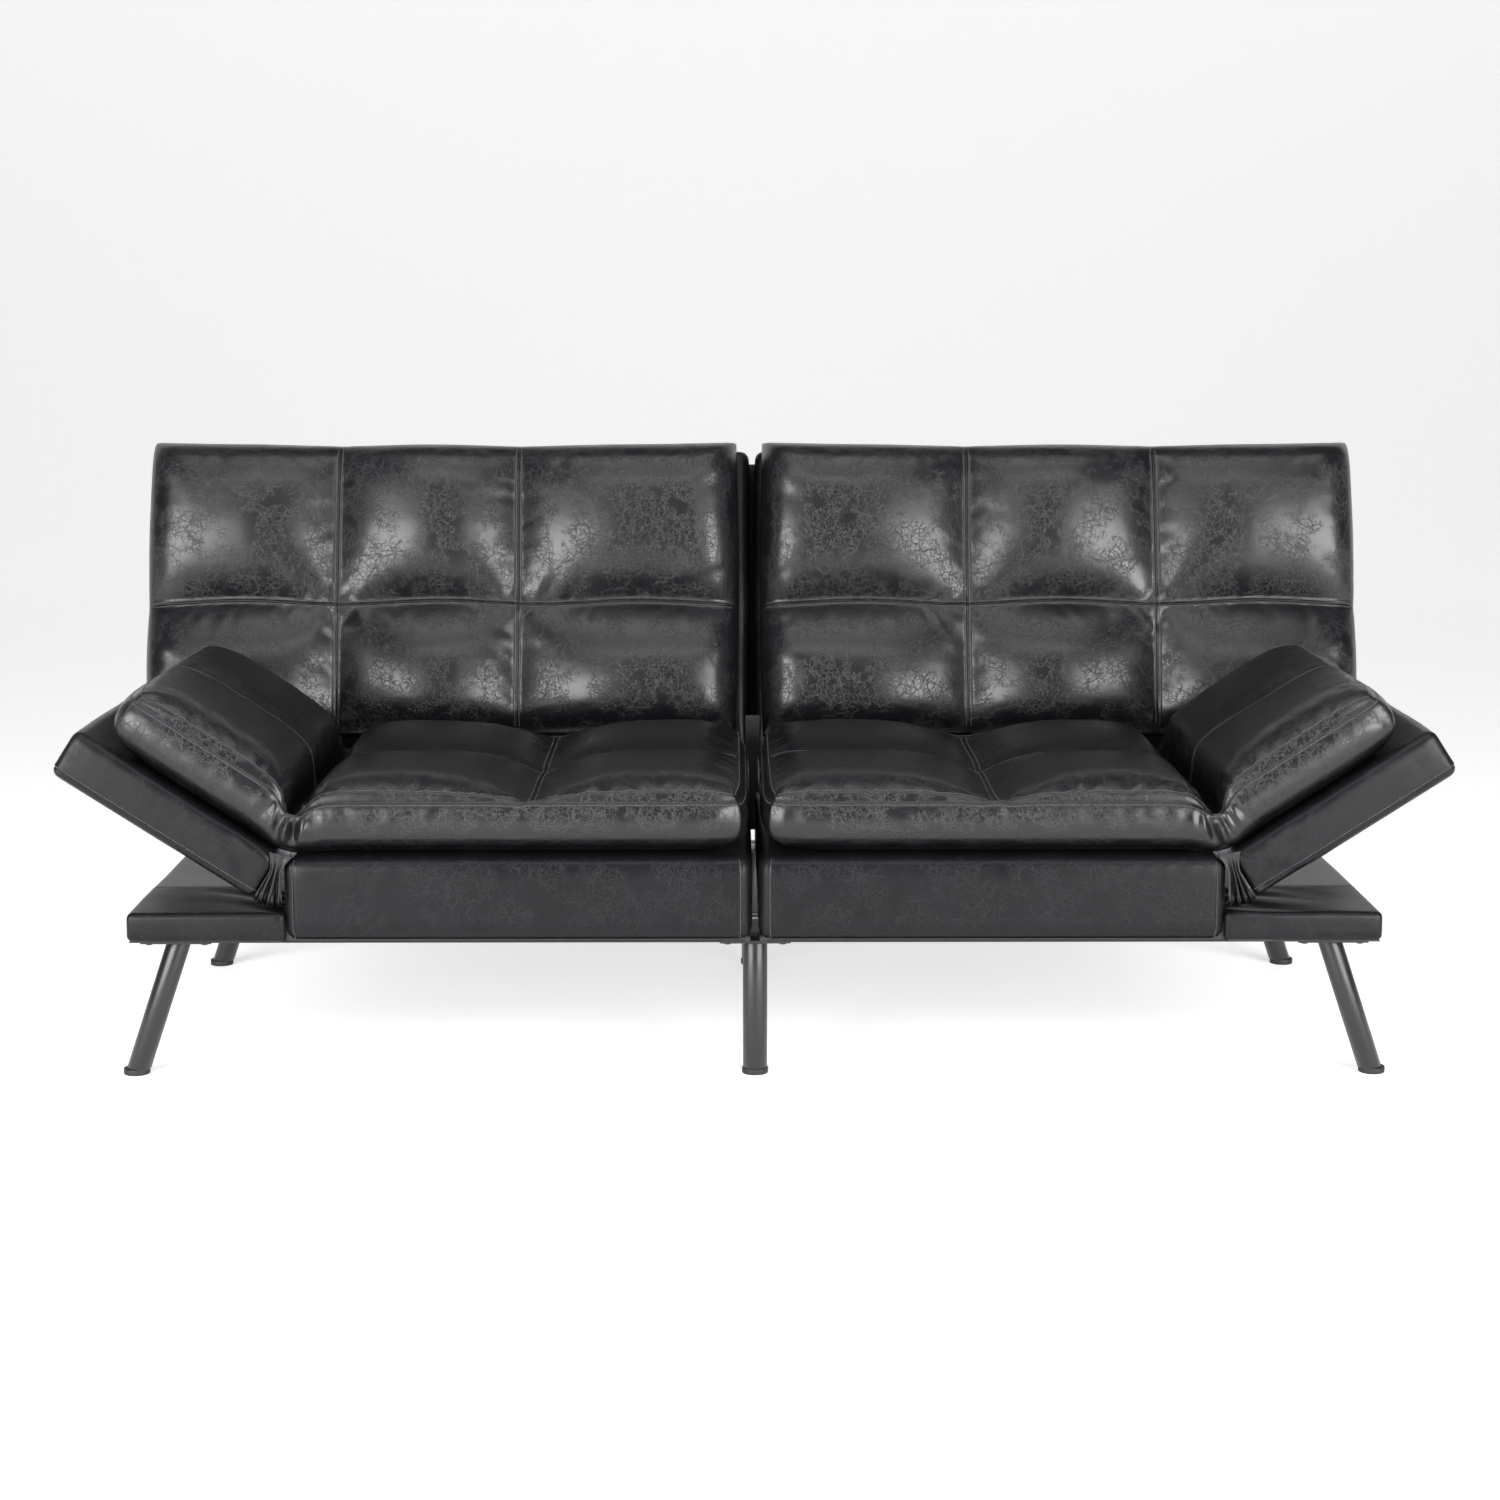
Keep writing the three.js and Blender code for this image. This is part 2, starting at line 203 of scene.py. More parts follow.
bpy.ops.mesh.primitive_plane_add(size=1, location=(0, 0, 0))
floor = bpy.context.object
floor.name = "studio_floor"
floor.scale = (*studio["floorSize"], 1)
bpy.ops.object.transform_apply(scale=True)
pickIn(floor, "edges", lambda edge: all(floor.data.vertices[v].co.y > 0 for v in edge.vertices))
bpy.ops.mesh.extrude_region_move(TRANSFORM_OT_translate={"value": (0, 0, studio["wallHeight"])})
bpy.ops.object.mode_set(mode="OBJECT")
sweep = floor.modifiers.new("sweep", "BEVEL")
sweep.width, sweep.segments, sweep.limit_method = studio["sweepRadius"], 12, "ANGLE"
applyModifiers(floor)
floor.data.shade_smooth()
# white background paper: dull, and lit so evenly that it seems to glow
paper = newMaterial("studio_paper", {
    "Base Color": hexColour(studio["floorColour"]), "Roughness": 0.9,
    "Emission Color": hexColour("#ffffff"), "Emission Strength": studio["floorGlow"]})[0]
floor.data.materials.append(paper)
print("camera, light and floor")


# pull-up faux leather: polyurethane on a knit, waxed and pressed; a near-black skin with a soft
# cool gloss, fine pebbles, and pale and dark crackle where it has been bent
leatherLook = {
    "dark": "#0b0b0d", "pale": "#131316", "veinColour": "#1e1e21",
    "pebble": 2.4 * mm, "veinCell": 24 * mm, "cloud": 85 * mm, "dent": 42 * mm,
    "veinBend": 13 * mm,
}


def pullUpLeather(name, look, glossLow, glossHigh, crackle, shine):
    material, tree, shader = newMaterial(name, {
        "IOR": 1.48, "Coat Weight": 0.06, "Coat Roughness": 0.2, "Specular IOR Level": shine})
    place = addNode(tree, "ShaderNodeAttribute", attribute_name="restPlace").outputs["Vector"]
    cloud = addNode(tree, "ShaderNodeTexNoise", {  # slow clouds where the wax is thicker
        "Scale": 1 / look["cloud"], "Detail": 5, "Roughness": 0.6, "Distortion": 0.4},
        {"Vector": place}).outputs["Fac"]
    # the crackle: the edges of bent cells, broken up where the noise is low
    bend = addNode(tree, "ShaderNodeTexNoise", {
        "Scale": 1 / (11 * mm), "Detail": 5, "Roughness": 0.68}, {"Vector": place}).outputs["Color"]
    away = addNode(tree, "ShaderNodeVectorMath", {1: (0.5, 0.5, 0.5)}, {0: bend},
                   operation="SUBTRACT").outputs["Vector"]
    push = addNode(tree, "ShaderNodeVectorMath", {"Scale": look["veinBend"]}, {0: away},
                   operation="SCALE").outputs["Vector"]
    bent = addNode(tree, "ShaderNodeVectorMath", None, {0: place, 1: push},
                   operation="ADD").outputs["Vector"]
    lines = []
    for size, width, height in ((1.0, 0.028, 1.0), (0.5, 0.04, 0.8), (0.27, 0.05, 0.5)):
        edges = addNode(tree, "ShaderNodeTexVoronoi", {"Scale": 1 / (size * look["veinCell"])},
                        {"Vector": bent}, feature="DISTANCE_TO_EDGE").outputs["Distance"]
        lines.append(addNode(tree, "ShaderNodeMapRange", {
            "From Min": 0.0, "From Max": width, "To Min": height, "To Max": 0.0},
            {"Value": edges}, interpolation_type="SMOOTHSTEP").outputs["Result"])
    both = addNode(tree, "ShaderNodeMath", None, {0: lines[0], 1: lines[1]},
                   operation="MAXIMUM").outputs["Value"]
    every = addNode(tree, "ShaderNodeMath", None, {0: both, 1: lines[2]},
                    operation="MAXIMUM").outputs["Value"]
    patch = addNode(tree, "ShaderNodeTexNoise", {
        "Scale": 1 / (38 * mm), "Detail": 4, "Roughness": 0.62}, {"Vector": place}).outputs["Fac"]
    shown = addNode(tree, "ShaderNodeMapRange", {
        "From Min": 0.36, "From Max": 0.6, "To Min": 0.0, "To Max": crackle}, {"Value": patch},
        interpolation_type="SMOOTHSTEP").outputs["Result"]
    vein = addNode(tree, "ShaderNodeMath", None, {0: every, 1: shown},
                   operation="MULTIPLY").outputs["Value"]
    base = addNode(tree, "ShaderNodeMix", {6: hexColour(look["dark"]), 7: hexColour(look["pale"])},
                   {0: cloud}, data_type="RGBA").outputs[2]
    veined = addNode(tree, "ShaderNodeMix", {7: hexColour(look["veinColour"])},
                     {0: vein, 6: base}, data_type="RGBA").outputs[2]
    tree.links.new(veined, shader.inputs["Base Color"])
    gloss = addNode(tree, "ShaderNodeMapRange", {
        "From Min": 0.3, "From Max": 0.7, "To Min": glossLow, "To Max": glossHigh},
        {"Value": cloud}).outputs["Result"]
    rough = addNode(tree, "ShaderNodeMath", {1: 0.1}, {0: vein, 2: gloss},
                    operation="MULTIPLY_ADD").outputs["Value"]
    tree.links.new(rough, shader.inputs["Roughness"])
    dent = addNode(tree, "ShaderNodeTexNoise", {
        "Scale": 1 / look["dent"], "Detail": 4, "Roughness": 0.55, "Distortion": 0.6},
        {"Vector": place}).outputs["Fac"]
    # real pebbles are about 0.6 mm across; they are drawn at 2.4 mm so that they show
    pebble = addNode(tree, "ShaderNodeTexVoronoi", {"Scale": 1 / look["pebble"]},
                     {"Vector": place}, feature="SMOOTH_F1").outputs["Distance"]
    soft = addNode(tree, "ShaderNodeBump", {"Strength": 0.18, "Distance": 1.4 * mm},
                   {"Height": dent}).outputs["Normal"]
    crack = addNode(tree, "ShaderNodeBump", {"Strength": 0.7, "Distance": 0.5 * mm},
                    {"Height": vein, "Normal": soft}, invert=True).outputs["Normal"]
    grain = addNode(tree, "ShaderNodeBump", {"Strength": 0.12, "Distance": 0.25 * mm},
                    {"Height": pebble, "Normal": crack}).outputs["Normal"]
    tree.links.new(grain, shader.inputs["Normal"])
    return material


cushionLeather = pullUpLeather("pull_up_faux_leather", leatherLook, glossLow=0.28,
                               glossHigh=0.32, crackle=0.9, shine=0.5)
boardLeather = pullUpLeather("stretched_faux_leather", leatherLook, glossLow=0.33,
                             glossHigh=0.38, crackle=0.5, shine=0.2)


def nonWoven():
    # spun-bonded polypropylene lining: matt, near black, with a faint grid of weld dots
    material, tree, shader = newMaterial("spunbond_lining", {
        "Roughness": 0.92, "Specular IOR Level": 0.25, "Sheen Weight": 0.25, "Sheen Roughness": 0.6})
    place = addNode(tree, "ShaderNodeTexCoord").outputs["Object"]
    fibres = addNode(tree, "ShaderNodeTexNoise", {
        "Scale": 1 / (3 * mm), "Detail": 6, "Roughness": 0.75, "Distortion": 1.5},
        {"Vector": place}).outputs["Fac"]
    dots = addNode(tree, "ShaderNodeTexVoronoi", {"Scale": 1 / (3.2 * mm), "Randomness": 0.15},
                   {"Vector": place}).outputs["Distance"]
    colour = addNode(tree, "ShaderNodeMix", {6: hexColour("#0c0c0d"), 7: hexColour("#222224")},
                     {0: fibres}, data_type="RGBA").outputs[2]
    tree.links.new(colour, shader.inputs["Base Color"])
    weave = addNode(tree, "ShaderNodeBump", {"Strength": 0.4, "Distance": 0.4 * mm},
                    {"Height": fibres}).outputs["Normal"]
    weld = addNode(tree, "ShaderNodeBump", {"Strength": 0.4, "Distance": 0.3 * mm},
                   {"Height": dots, "Normal": weave}).outputs["Normal"]
    tree.links.new(weld, shader.inputs["Normal"])
    return material


def powderCoat(name, colour, low, high):
    # black powder coat on steel tube: an even sheen with a faint orange peel
    material, tree, shader = newMaterial(name, {
        "Base Color": hexColour(colour), "Metallic": 0.0, "Coat Weight": 0.15,
        "Coat Roughness": 0.2})
    place = addNode(tree, "ShaderNodeTexCoord").outputs["Object"]
    peel = addNode(tree, "ShaderNodeTexNoise", {"Scale": 1 / (1.6 * mm), "Detail": 2},
                   {"Vector": place}).outputs["Fac"]
    scuff = addNode(tree, "ShaderNodeTexNoise", {"Scale": 1 / (40 * mm), "Detail": 6,
                    "Roughness": 0.65}, {"Vector": place}).outputs["Fac"]
    rough = addNode(tree, "ShaderNodeMapRange", {
        "From Min": 0.3, "From Max": 0.7, "To Min": low, "To Max": high},
        {"Value": scuff}).outputs["Result"]
    tree.links.new(rough, shader.inputs["Roughness"])
    bump = addNode(tree, "ShaderNodeBump", {"Strength": 0.12, "Distance": 0.2 * mm},
                   {"Height": peel}).outputs["Normal"]
    tree.links.new(bump, shader.inputs["Normal"])
    return material


def zincPlate():
    # bright zinc plate on pressed steel: pale metal with a soft cloudy spangle
    material, tree, shader = newMaterial("zinc_plated_steel", {"Metallic": 1.0})
    place = addNode(tree, "ShaderNodeTexCoord").outputs["Object"]
    spangle = addNode(tree, "ShaderNodeTexNoise", {"Scale": 1 / (12 * mm), "Detail": 5},
                      {"Vector": place}).outputs["Fac"]
    colour = addNode(tree, "ShaderNodeMix", {6: hexColour("#8f9296"), 7: hexColour("#bcbfc2")},
                     {0: spangle}, data_type="RGBA").outputs[2]
    tree.links.new(colour, shader.inputs["Base Color"])
    rough = addNode(tree, "ShaderNodeMapRange", {"To Min": 0.26, "To Max": 0.48},
                    {"Value": spangle}).outputs["Result"]
    tree.links.new(rough, shader.inputs["Roughness"])
    return material


def mouldedPlastic():
    # injection-moulded polypropylene: matt black with a fine spark-eroded texture
    material, tree, shader = newMaterial("moulded_polypropylene", {"IOR": 1.49})
    place = addNode(tree, "ShaderNodeTexCoord").outputs["Object"]
    spark = addNode(tree, "ShaderNodeTexNoise", {"Scale": 1 / (0.9 * mm), "Detail": 3},
                    {"Vector": place}).outputs["Fac"]
    colour = addNode(tree, "ShaderNodeMix", {6: hexColour("#0f0f10"), 7: hexColour("#1d1d1f")},
                     {0: spark}, data_type="RGBA").outputs[2]
    tree.links.new(colour, shader.inputs["Base Color"])
    rough = addNode(tree, "ShaderNodeMapRange", {"To Min": 0.5, "To Max": 0.7},
                    {"Value": spark}).outputs["Result"]
    tree.links.new(rough, shader.inputs["Roughness"])
    bump = addNode(tree, "ShaderNodeBump", {"Strength": 0.3, "Distance": 0.15 * mm},
                   {"Height": spark}).outputs["Normal"]
    tree.links.new(bump, shader.inputs["Normal"])
    return material


def thread():
    # bonded polyester thread, black; the grey that comes and goes from stitch to stitch is painted
    # glint, the light each stitch catches painted into its colour
    material, tree, shader = newMaterial("bonded_polyester_thread", {
        "Roughness": 0.38, "Sheen Weight": 0.3, "Sheen Roughness": 0.4})
    place = addNode(tree, "ShaderNodeTexCoord").outputs["Object"]
    paintedGlintNoise = addNode(tree, "ShaderNodeTexNoise", {"Scale": 1 / (5 * mm), "Detail": 2},
                    {"Vector": place}).outputs["Fac"]
    # the pale grey end of this mix is a painted highlight, not the thread's own colour
    colour = addNode(tree, "ShaderNodeMix", {6: hexColour("#1c1c1f"), 7: hexColour("#5c5c61")},
                     {0: paintedGlintNoise}, data_type="RGBA").outputs[2]
    tree.links.new(colour, shader.inputs["Base Color"])
    return material


liningCloth = nonWoven()
legCoat = powderCoat("satin_powder_coat", "#121214", 0.28, 0.42)
frameCoat = powderCoat("matt_powder_coat", "#17181a", 0.45, 0.6)
zinc = zincPlate()
footPlastic = mouldedPlastic()
# the seam thread carries painted glints: black thread flecked with painted grey highlights
glintedSeamThread = thread()
print("materials")


# sewn, stuffed cushions
seamOffsets = np.array([-6.0, -4.8, -3.5, -1.3, 0.0, 1.3, 3.5, 4.8, 6.0]) * mm
seamRelief = np.array([0.0, 0.1, 0.2, -0.8, -3.0, -0.8, 0.2, 0.1, 0.0]) * mm
seamHalf = 6.0 * mm
stitchRow = 3.5 * mm  # from the seam to each row of stitches
stitch = {"pitch": 3.6 * mm, "length": 2.7 * mm, "radius": 0.5 * mm, "sides": 6}
edgeLines = np.array([0, 1.4, 4.3, 6.5, 10, 15, 21, 28, 37, 46]) * mm
creaseReach = 75 * mm  # how far the close lines beside the arm's crease go


def smoothStep(share):
    share = np.clip(share, 0, 1)
    return share * share * (3 - 2 * share)


def gridLines(length, seams, edge, step, fine=None):
    # close lines at each edge and beside each seam, even lines between
    lines = list(edge)
    at = edge[-1]
    for seam in list(seams) + [None]:
        stop = length - edge[-1] if seam is None else seam - seamHalf
        while at < stop - 1e-6:
            pace = step * 0.6 if fine is not None and abs(at - fine) < creaseReach else step
            count = max(1, round((stop - at) / pace))
            at = at + (stop - at) / count
            if at < stop - 1e-6:
                lines.append(at)
        if seam is not None:
            lines += list(seam + seamOffsets)
            at = seam + seamHalf
    lines += list(length - edge[::-1])
    return np.array(lines)


def rise(places, length, seams, power):
    # 0 on a seam, 1 in the middle of a cell; an outer cell stays up towards its edge
    stops = [None] + list(seams) + [None]
    result = np.ones_like(places)
    for low, high in zip(stops[:-1], stops[1:]):
        left = -1e9 if low is None else low
        right = 1e9 if high is None else high
        inside = (places >= left) & (places <= right)
        if low is not None and high is not None:
            half = (high - low) / 2
        elif low is None:
            half = high * 0.5
        else:
            half = (length - low) * 0.5
        near = np.minimum(places - left, right - places) - seamHalf
        share = np.clip(near / (half - seamHalf), 0, 1)
        result[inside] = (1 - (1 - share) ** power)[inside]
    return result


def relief(places, seams):
    result = np.zeros_like(places)
    for seam in seams:
        result += np.interp(places - seam, seamOffsets, seamRelief, 0, 0)
    return result


def edgeRoll(distance, radius, power=2.5):
    share = np.clip(distance / radius, 0, 1)
    return (1 - (1 - share) ** power) ** (1 / power)


def gridFaces(rows, columns):
    faces = []
    for i in range(rows - 1):
        for j in range(columns - 1):
            a = i * columns + j
            faces.append((a, a + columns, a + columns + 1, a + 1))
    return faces


def gridNormals(points):
    du = np.gradient(points, axis=0)
    dv = np.gradient(points, axis=1)
    normals = np.cross(du, dv)
    return normals / np.maximum(np.linalg.norm(normals, axis=2, keepdims=True), 1e-9)


def puckers(along, away, span, rand, look, size=1.0):
    # grooves with a soft ridge beside them, that run off a seam and die out
    depth = np.zeros_like(along)
    at = look["spacing"][0] * rand.random() * mm
    while at < span:
        width = rand.uniform(*look["width"]) * mm
        length = rand.uniform(*look["length"]) * mm
        lean = rand.uniform(-look["lean"], look["lean"])
        deep = rand.uniform(*look["depth"]) * mm * size
        run = np.clip(away, 0, None) / length
        fade = run * np.exp(1 - run)
        across = (along - at - lean * away) / (width * (1 + 0.35 * run))
        depth += deep * fade * (np.exp(-across ** 2) - 0.6 * np.exp(-(across - 1.8) ** 2))
        at += rand.uniform(*look["spacing"]) * mm
    return depth


def easeMap(u, v, columns, rows, look, rand):
    # the skin is cut a little large near the seams, unevenly, so that it puckers there
    near = np.full_like(u, 9.0)
    for seam in columns:
        near = np.minimum(near, np.abs(u - seam))
    for seam in rows:
        near = np.minimum(near, np.abs(v - seam))
    close = np.exp(-(near / look["reach"]) ** 2)
    patchy = np.zeros_like(u)
    for _ in range(5):
        patchy += (np.sin(u * rand.uniform(12, 40) + rand.uniform(0, 6))
                   * np.sin(v * rand.uniform(12, 40) + rand.uniform(0, 6))) / 2.2
    return look["ease"] + look["pucker"] * close * np.clip(0.55 + patchy, 0, 1.3)


def threadPairs(nu, nv, du, dv):
    # the threads of one direction, in two sets, so that no point is moved twice at once
    pairs = []
    for phase in range(2):
        iu = [k for k in range(nu - du) if du == 0 or (k // du) % 2 == phase]
        jv = [k for k in range(nv) if 0 <= k + dv < nv
              and (du != 0 or (k // abs(dv)) % 2 == phase)]
        iu, jv = np.array(iu), np.array(jv)
        pairs.append((np.ix_(iu, jv), np.ix_(iu + du, jv + dv)))
    return pairs


def tug(points, free, pair, rest, strength):
    # moves both ends of each thread towards its cut length
    first, second = pair
    span = points[second] - points[first]
    length = np.sqrt((span * span).sum(axis=2)) + 1e-12
    freeBoth = np.maximum(free[first] + free[second], 1e-9)
    shift = span * (strength * (length - rest) / length / freeBoth)[:, :, None]
    points[first] += shift * free[first][:, :, None]
    points[second] -= shift * free[second][:, :, None]


def puff(points, held, ease, look, outward):
    # position-based cloth: threads along, across, diagonal and two apart, and air inside
    nu, nv = held.shape
    free = np.where(held, 0.0, 1.0)
    threads = []
    for du, dv, strength in ((1, 0, 1.0), (0, 1, 1.0), (1, 1, 0.3), (1, -1, 0.3),
                             (2, 0, look["bending"]), (0, 2, look["bending"])):
        for pair in threadPairs(nu, nv, du, dv):
            first, second = pair
            longer = 1 + (ease[first] + ease[second]) / 2
            rest = np.linalg.norm(points[second] - points[first], axis=2) * longer
            threads.append((pair, rest, strength))
    start = points.copy()
    before = points.copy()
    for _ in range(look["steps"]):
        speed = (points - before) * 0.9
        before = points.copy()
        push = gridNormals(points) * (outward * look["pressure"])
        points = points + (speed + push) * free[:, :, None]
        for _ in range(look["passes"]):
            for pair, rest, strength in threads:
                tug(points, free, pair, rest, strength)
    moved = points - start
    for _ in range(2):  # takes out the zigzag of single threads
        around = np.pad(moved, ((1, 1), (1, 1), (0, 0)), mode="edge")
        moved = sum(around[i:i + nu, j:j + nv] for i in range(3) for j in range(3)) / 9
        moved *= free[:, :, None]
    far = np.linalg.norm(moved, axis=2, keepdims=True)
    moved *= np.minimum(1, look["cap"] / np.maximum(far, 1e-9))
    print("  puffed by up to", round(float(far.max()) * 1000, 1), "mm")
    return start + moved


def stitchRows(name, rows, material):
    # rows: lists of (place, outward) along each line of stitches
    length, radius, count = stitch["length"], stitch["radius"], stitch["sides"]
    ring = [(math.cos(2 * math.pi * i / count), math.sin(2 * math.pi * i / count))
            for i in range(count)]
    profile = ((-0.5, 0.35), (-0.25, 1.0), (0.25, 1.0), (0.5, 0.35))
    verts, faces = [], []
    for places, outward in rows:
        steps = np.linalg.norm(np.diff(places, axis=0), axis=1)
        run = np.concatenate([[0], np.cumsum(steps)])
        for at in np.arange(stitch["pitch"], run[-1] - stitch["pitch"], stitch["pitch"]):
            middle = np.array([np.interp(at, run, places[:, k]) for k in range(3)])
            ahead = np.array([np.interp(at + length / 2, run, places[:, k]) for k in range(3)])
            up = np.array([np.interp(at, run, outward[:, k]) for k in range(3)])
            along = ahead - middle
            along /= max(np.linalg.norm(along), 1e-9)
            up = up - along * up.dot(along)
            up /= max(np.linalg.norm(up), 1e-9)
            across = np.cross(along, up)
            middle = middle + up * radius * 0.5
            base = len(verts)
            for share, size in profile:
                for u, v in ring:
                    verts.append(middle + along * share * length
                                 + across * u * radius * size + up * v * radius * size * 0.8)
            for k in range(len(profile) - 1):
                for i in range(count):
                    j = (i + 1) % count
                    a, b = base + k * count + i, base + k * count + j
                    faces.append((a, b, b + count, a + count))
            faces.append(tuple(base + i for i in reversed(range(count))))
            faces.append(tuple(base + (len(profile) - 1) * count + i for i in range(count)))
    piece = meshPiece(name, verts, faces, material)
    faceOutward(piece)
    return piece


def farSide(nu, nv, ringIndex, ringValues, start):
    # a second grid that shares the first one's rim and closes it from behind
    far = np.full((nu, nv), -1)
    far[1:-1, 1:-1] = start + np.arange((nu - 2) * (nv - 2)).reshape(nu - 2, nv - 2)
    far.reshape(-1)[ringIndex] = ringValues
    return [(int(far[i, j]), int(far[i, j + 1]), int(far[i + 1, j + 1]), int(far[i + 1, j]))
            for i in range(nu - 1) for j in range(nv - 1)]


def rimOf(nu, nv):
    index = np.arange(nu * nv).reshape(nu, nv)
    return np.concatenate([index[:, 0], index[-1, 1:], index[-2::-1, -1], index[0, -2:0:-1]])


def faceOutward(piece):
    work = bmesh.new()
    work.from_mesh(piece.data)
    bmesh.ops.recalc_face_normals(work, faces=work.faces)
    work.to_mesh(piece.data)
    work.free()


def refine(piece):
    finer = piece.modifiers.new("finer", "SUBSURF")
    finer.levels = finer.render_levels = 1
    applyModifiers(piece)
    piece.data.shade_smooth()


# back cushions: three columns, two rows
backCushion = {
    "bottom": 32 * mm, "top": 478 * mm, "outer": 908 * mm, "rear": -39 * mm,
    "seam": 13 * mm, "crown": 49 * mm, "edge": 56 * mm, "step": 6.2 * mm,
    "rows": (228 * mm,), "droop": 3 * mm,
    "right": {"inner": 12 * mm, "columns": (322 * mm, 605 * mm), "seed": 31},
    "left": {"inner": 20 * mm, "columns": (350 * mm, 620 * mm), "seed": 47},
    "puckers": {"spacing": (17, 52), "width": (3.5, 7), "length": (6, 16), "depth": (0.4, 2.1),
                "lean": 0.7},
    "cloth": {"ease": 0.002, "pucker": 0.012, "reach": 30 * mm, "bending": 0.25, "steps": 40,
              "passes": 5, "pressure": 0.02 * mm, "cap": 6 * mm},
}


def backPlaces(x, s, n, side):
    return np.stack([x * side, backPivot.y + s * math.sin(backAngle) - n * math.cos(backAngle),
                     backPivot.z + s * math.cos(backAngle) + n * math.sin(backAngle)], axis=2)


def makeBackCushion(side, word):
    look = backCushion
    cut = look[word]
    rand = random.Random(cut["seed"])
    width = look["outer"] - cut["inner"]
    height = look["top"] - look["bottom"]
    columns = [seam - cut["inner"] for seam in cut["columns"]]
    rows = [seam - look["bottom"] for seam in look["rows"]]
    rolled = look["edge"] * (1 - np.cos(np.linspace(0, math.pi / 2, 9)))
    us = gridLines(width, columns, rolled, look["step"])
    vs = gridLines(height, rows, rolled, look["step"])
    u, v = np.meshgrid(us, vs, indexing="ij")
    up = rise(u, width, columns, 1.9) * rise(v, height, rows, 1.9)
    waves = np.zeros_like(u)
    for _ in range(5):
        waves += 0.6 * mm * (np.sin(u * rand.uniform(14, 34) + rand.uniform(0, 6))
                             * np.sin(v * rand.uniform(14, 34) + rand.uniform(0, 6)))
    level = look["seam"] + (look["crown"] - look["seam"]) * up + waves * up
    level += relief(u, columns) + relief(v, rows)
    for seam in columns:
        level -= puckers(v, u - seam - seamHalf * 0.5, height, rand, look["puckers"], 0.6)
        level -= puckers(v, seam - seamHalf * 0.5 - u, height, rand, look["puckers"], 0.6)
    for seam in rows:
        level -= puckers(u, v - seam - seamHalf * 0.5, width, rand, look["puckers"])
        level -= puckers(u, seam - seamHalf * 0.5 - v, width, rand, look["puckers"])
    level -= puckers(u, height - v - 14 * mm, width, rand, look["puckers"], 0.8)
    level -= puckers(v, width - u - 14 * mm, height, rand, look["puckers"], 0.8)
    level -= puckers(v, u - 14 * mm, height, rand, look["puckers"], 0.8)
    rollU = edgeRoll(np.minimum(u, width - u), look["edge"])
    rollV = edgeRoll(np.minimum(v, height - v), look["edge"])
    n = look["rear"] + (level - look["rear"]) * rollU * rollV
    # the sides pull in between the corners at the top, and bow out below
    across = (u / width - 0.5) * 2
    upward = v / height
    x = cut["inner"] + u + across * (4 * np.sin(upward * math.pi) - 3) * mm
    corner = np.exp(-((1 - np.abs(across)) / 0.05) ** 2 - ((1 - upward) / 0.1) ** 2)
    s = look["bottom"] + v + corner * 3 * mm
    s -= 3 * mm * np.sin(np.clip(upward, 0, 1) * math.pi / 2) ** 6 * (1 - across ** 4)
    s -= look["droop"] * np.cos(u / width * 6 * math.pi) * np.exp(-((v - rows[0]) / (60 * mm)) ** 2)
    points = backPlaces(x, s, n, side)
    rearPoints = backPlaces(x, s, np.full_like(n, look["rear"]), side)
    held = np.zeros_like(u, bool)
    for seam in columns:
        held |= np.abs(u - seam) <= seamHalf + 1e-6
    for seam in rows:
        held |= np.abs(v - seam) <= seamHalf + 1e-6
    held[[0, -1], :] = True
    held[:, [0, -1]] = True
    ease = easeMap(u, v, columns, rows, look["cloth"], rand)
    points = puff(points, held, ease, look["cloth"], side)
    nu, nv = len(us), len(vs)
    rim = rimOf(nu, nv)
    faces = gridFaces(nu, nv) + farSide(nu, nv, rim, rim, nu * nv)
    if side < 0:
        faces = [face[::-1] for face in faces]
    verts = np.concatenate([points.reshape(-1, 3), rearPoints[1:-1, 1:-1].reshape(-1, 3)])
    cushion = meshPiece(f"back_cushion_skin_{word}", verts, faces, cushionLeather)
    refine(cushion)
    settle(cushion)
    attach(cushion, f"back_{word}")
    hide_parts(f"back_cushion_{word}")
    normals = gridNormals(points) * side
    rowsOfStitches = []
    for offset in (-stitchRow, stitchRow):
        for seam in columns:
            k = int(np.argmin(np.abs(us - seam - offset)))
            rowsOfStitches.append((points[k, 3:-3], normals[k, 3:-3]))
        for seam in rows:
            k = int(np.argmin(np.abs(vs - seam - offset)))
            rowsOfStitches.append((points[3:-3, k], normals[3:-3, k]))
    stitches = stitchRows(f"back_stitching_{word}", rowsOfStitches, glintedSeamThread)
    settle(stitches)
    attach(stitches, f"back_{word}")


for side, word in sides:
    makeBackCushion(side, word)
print("back cushions")


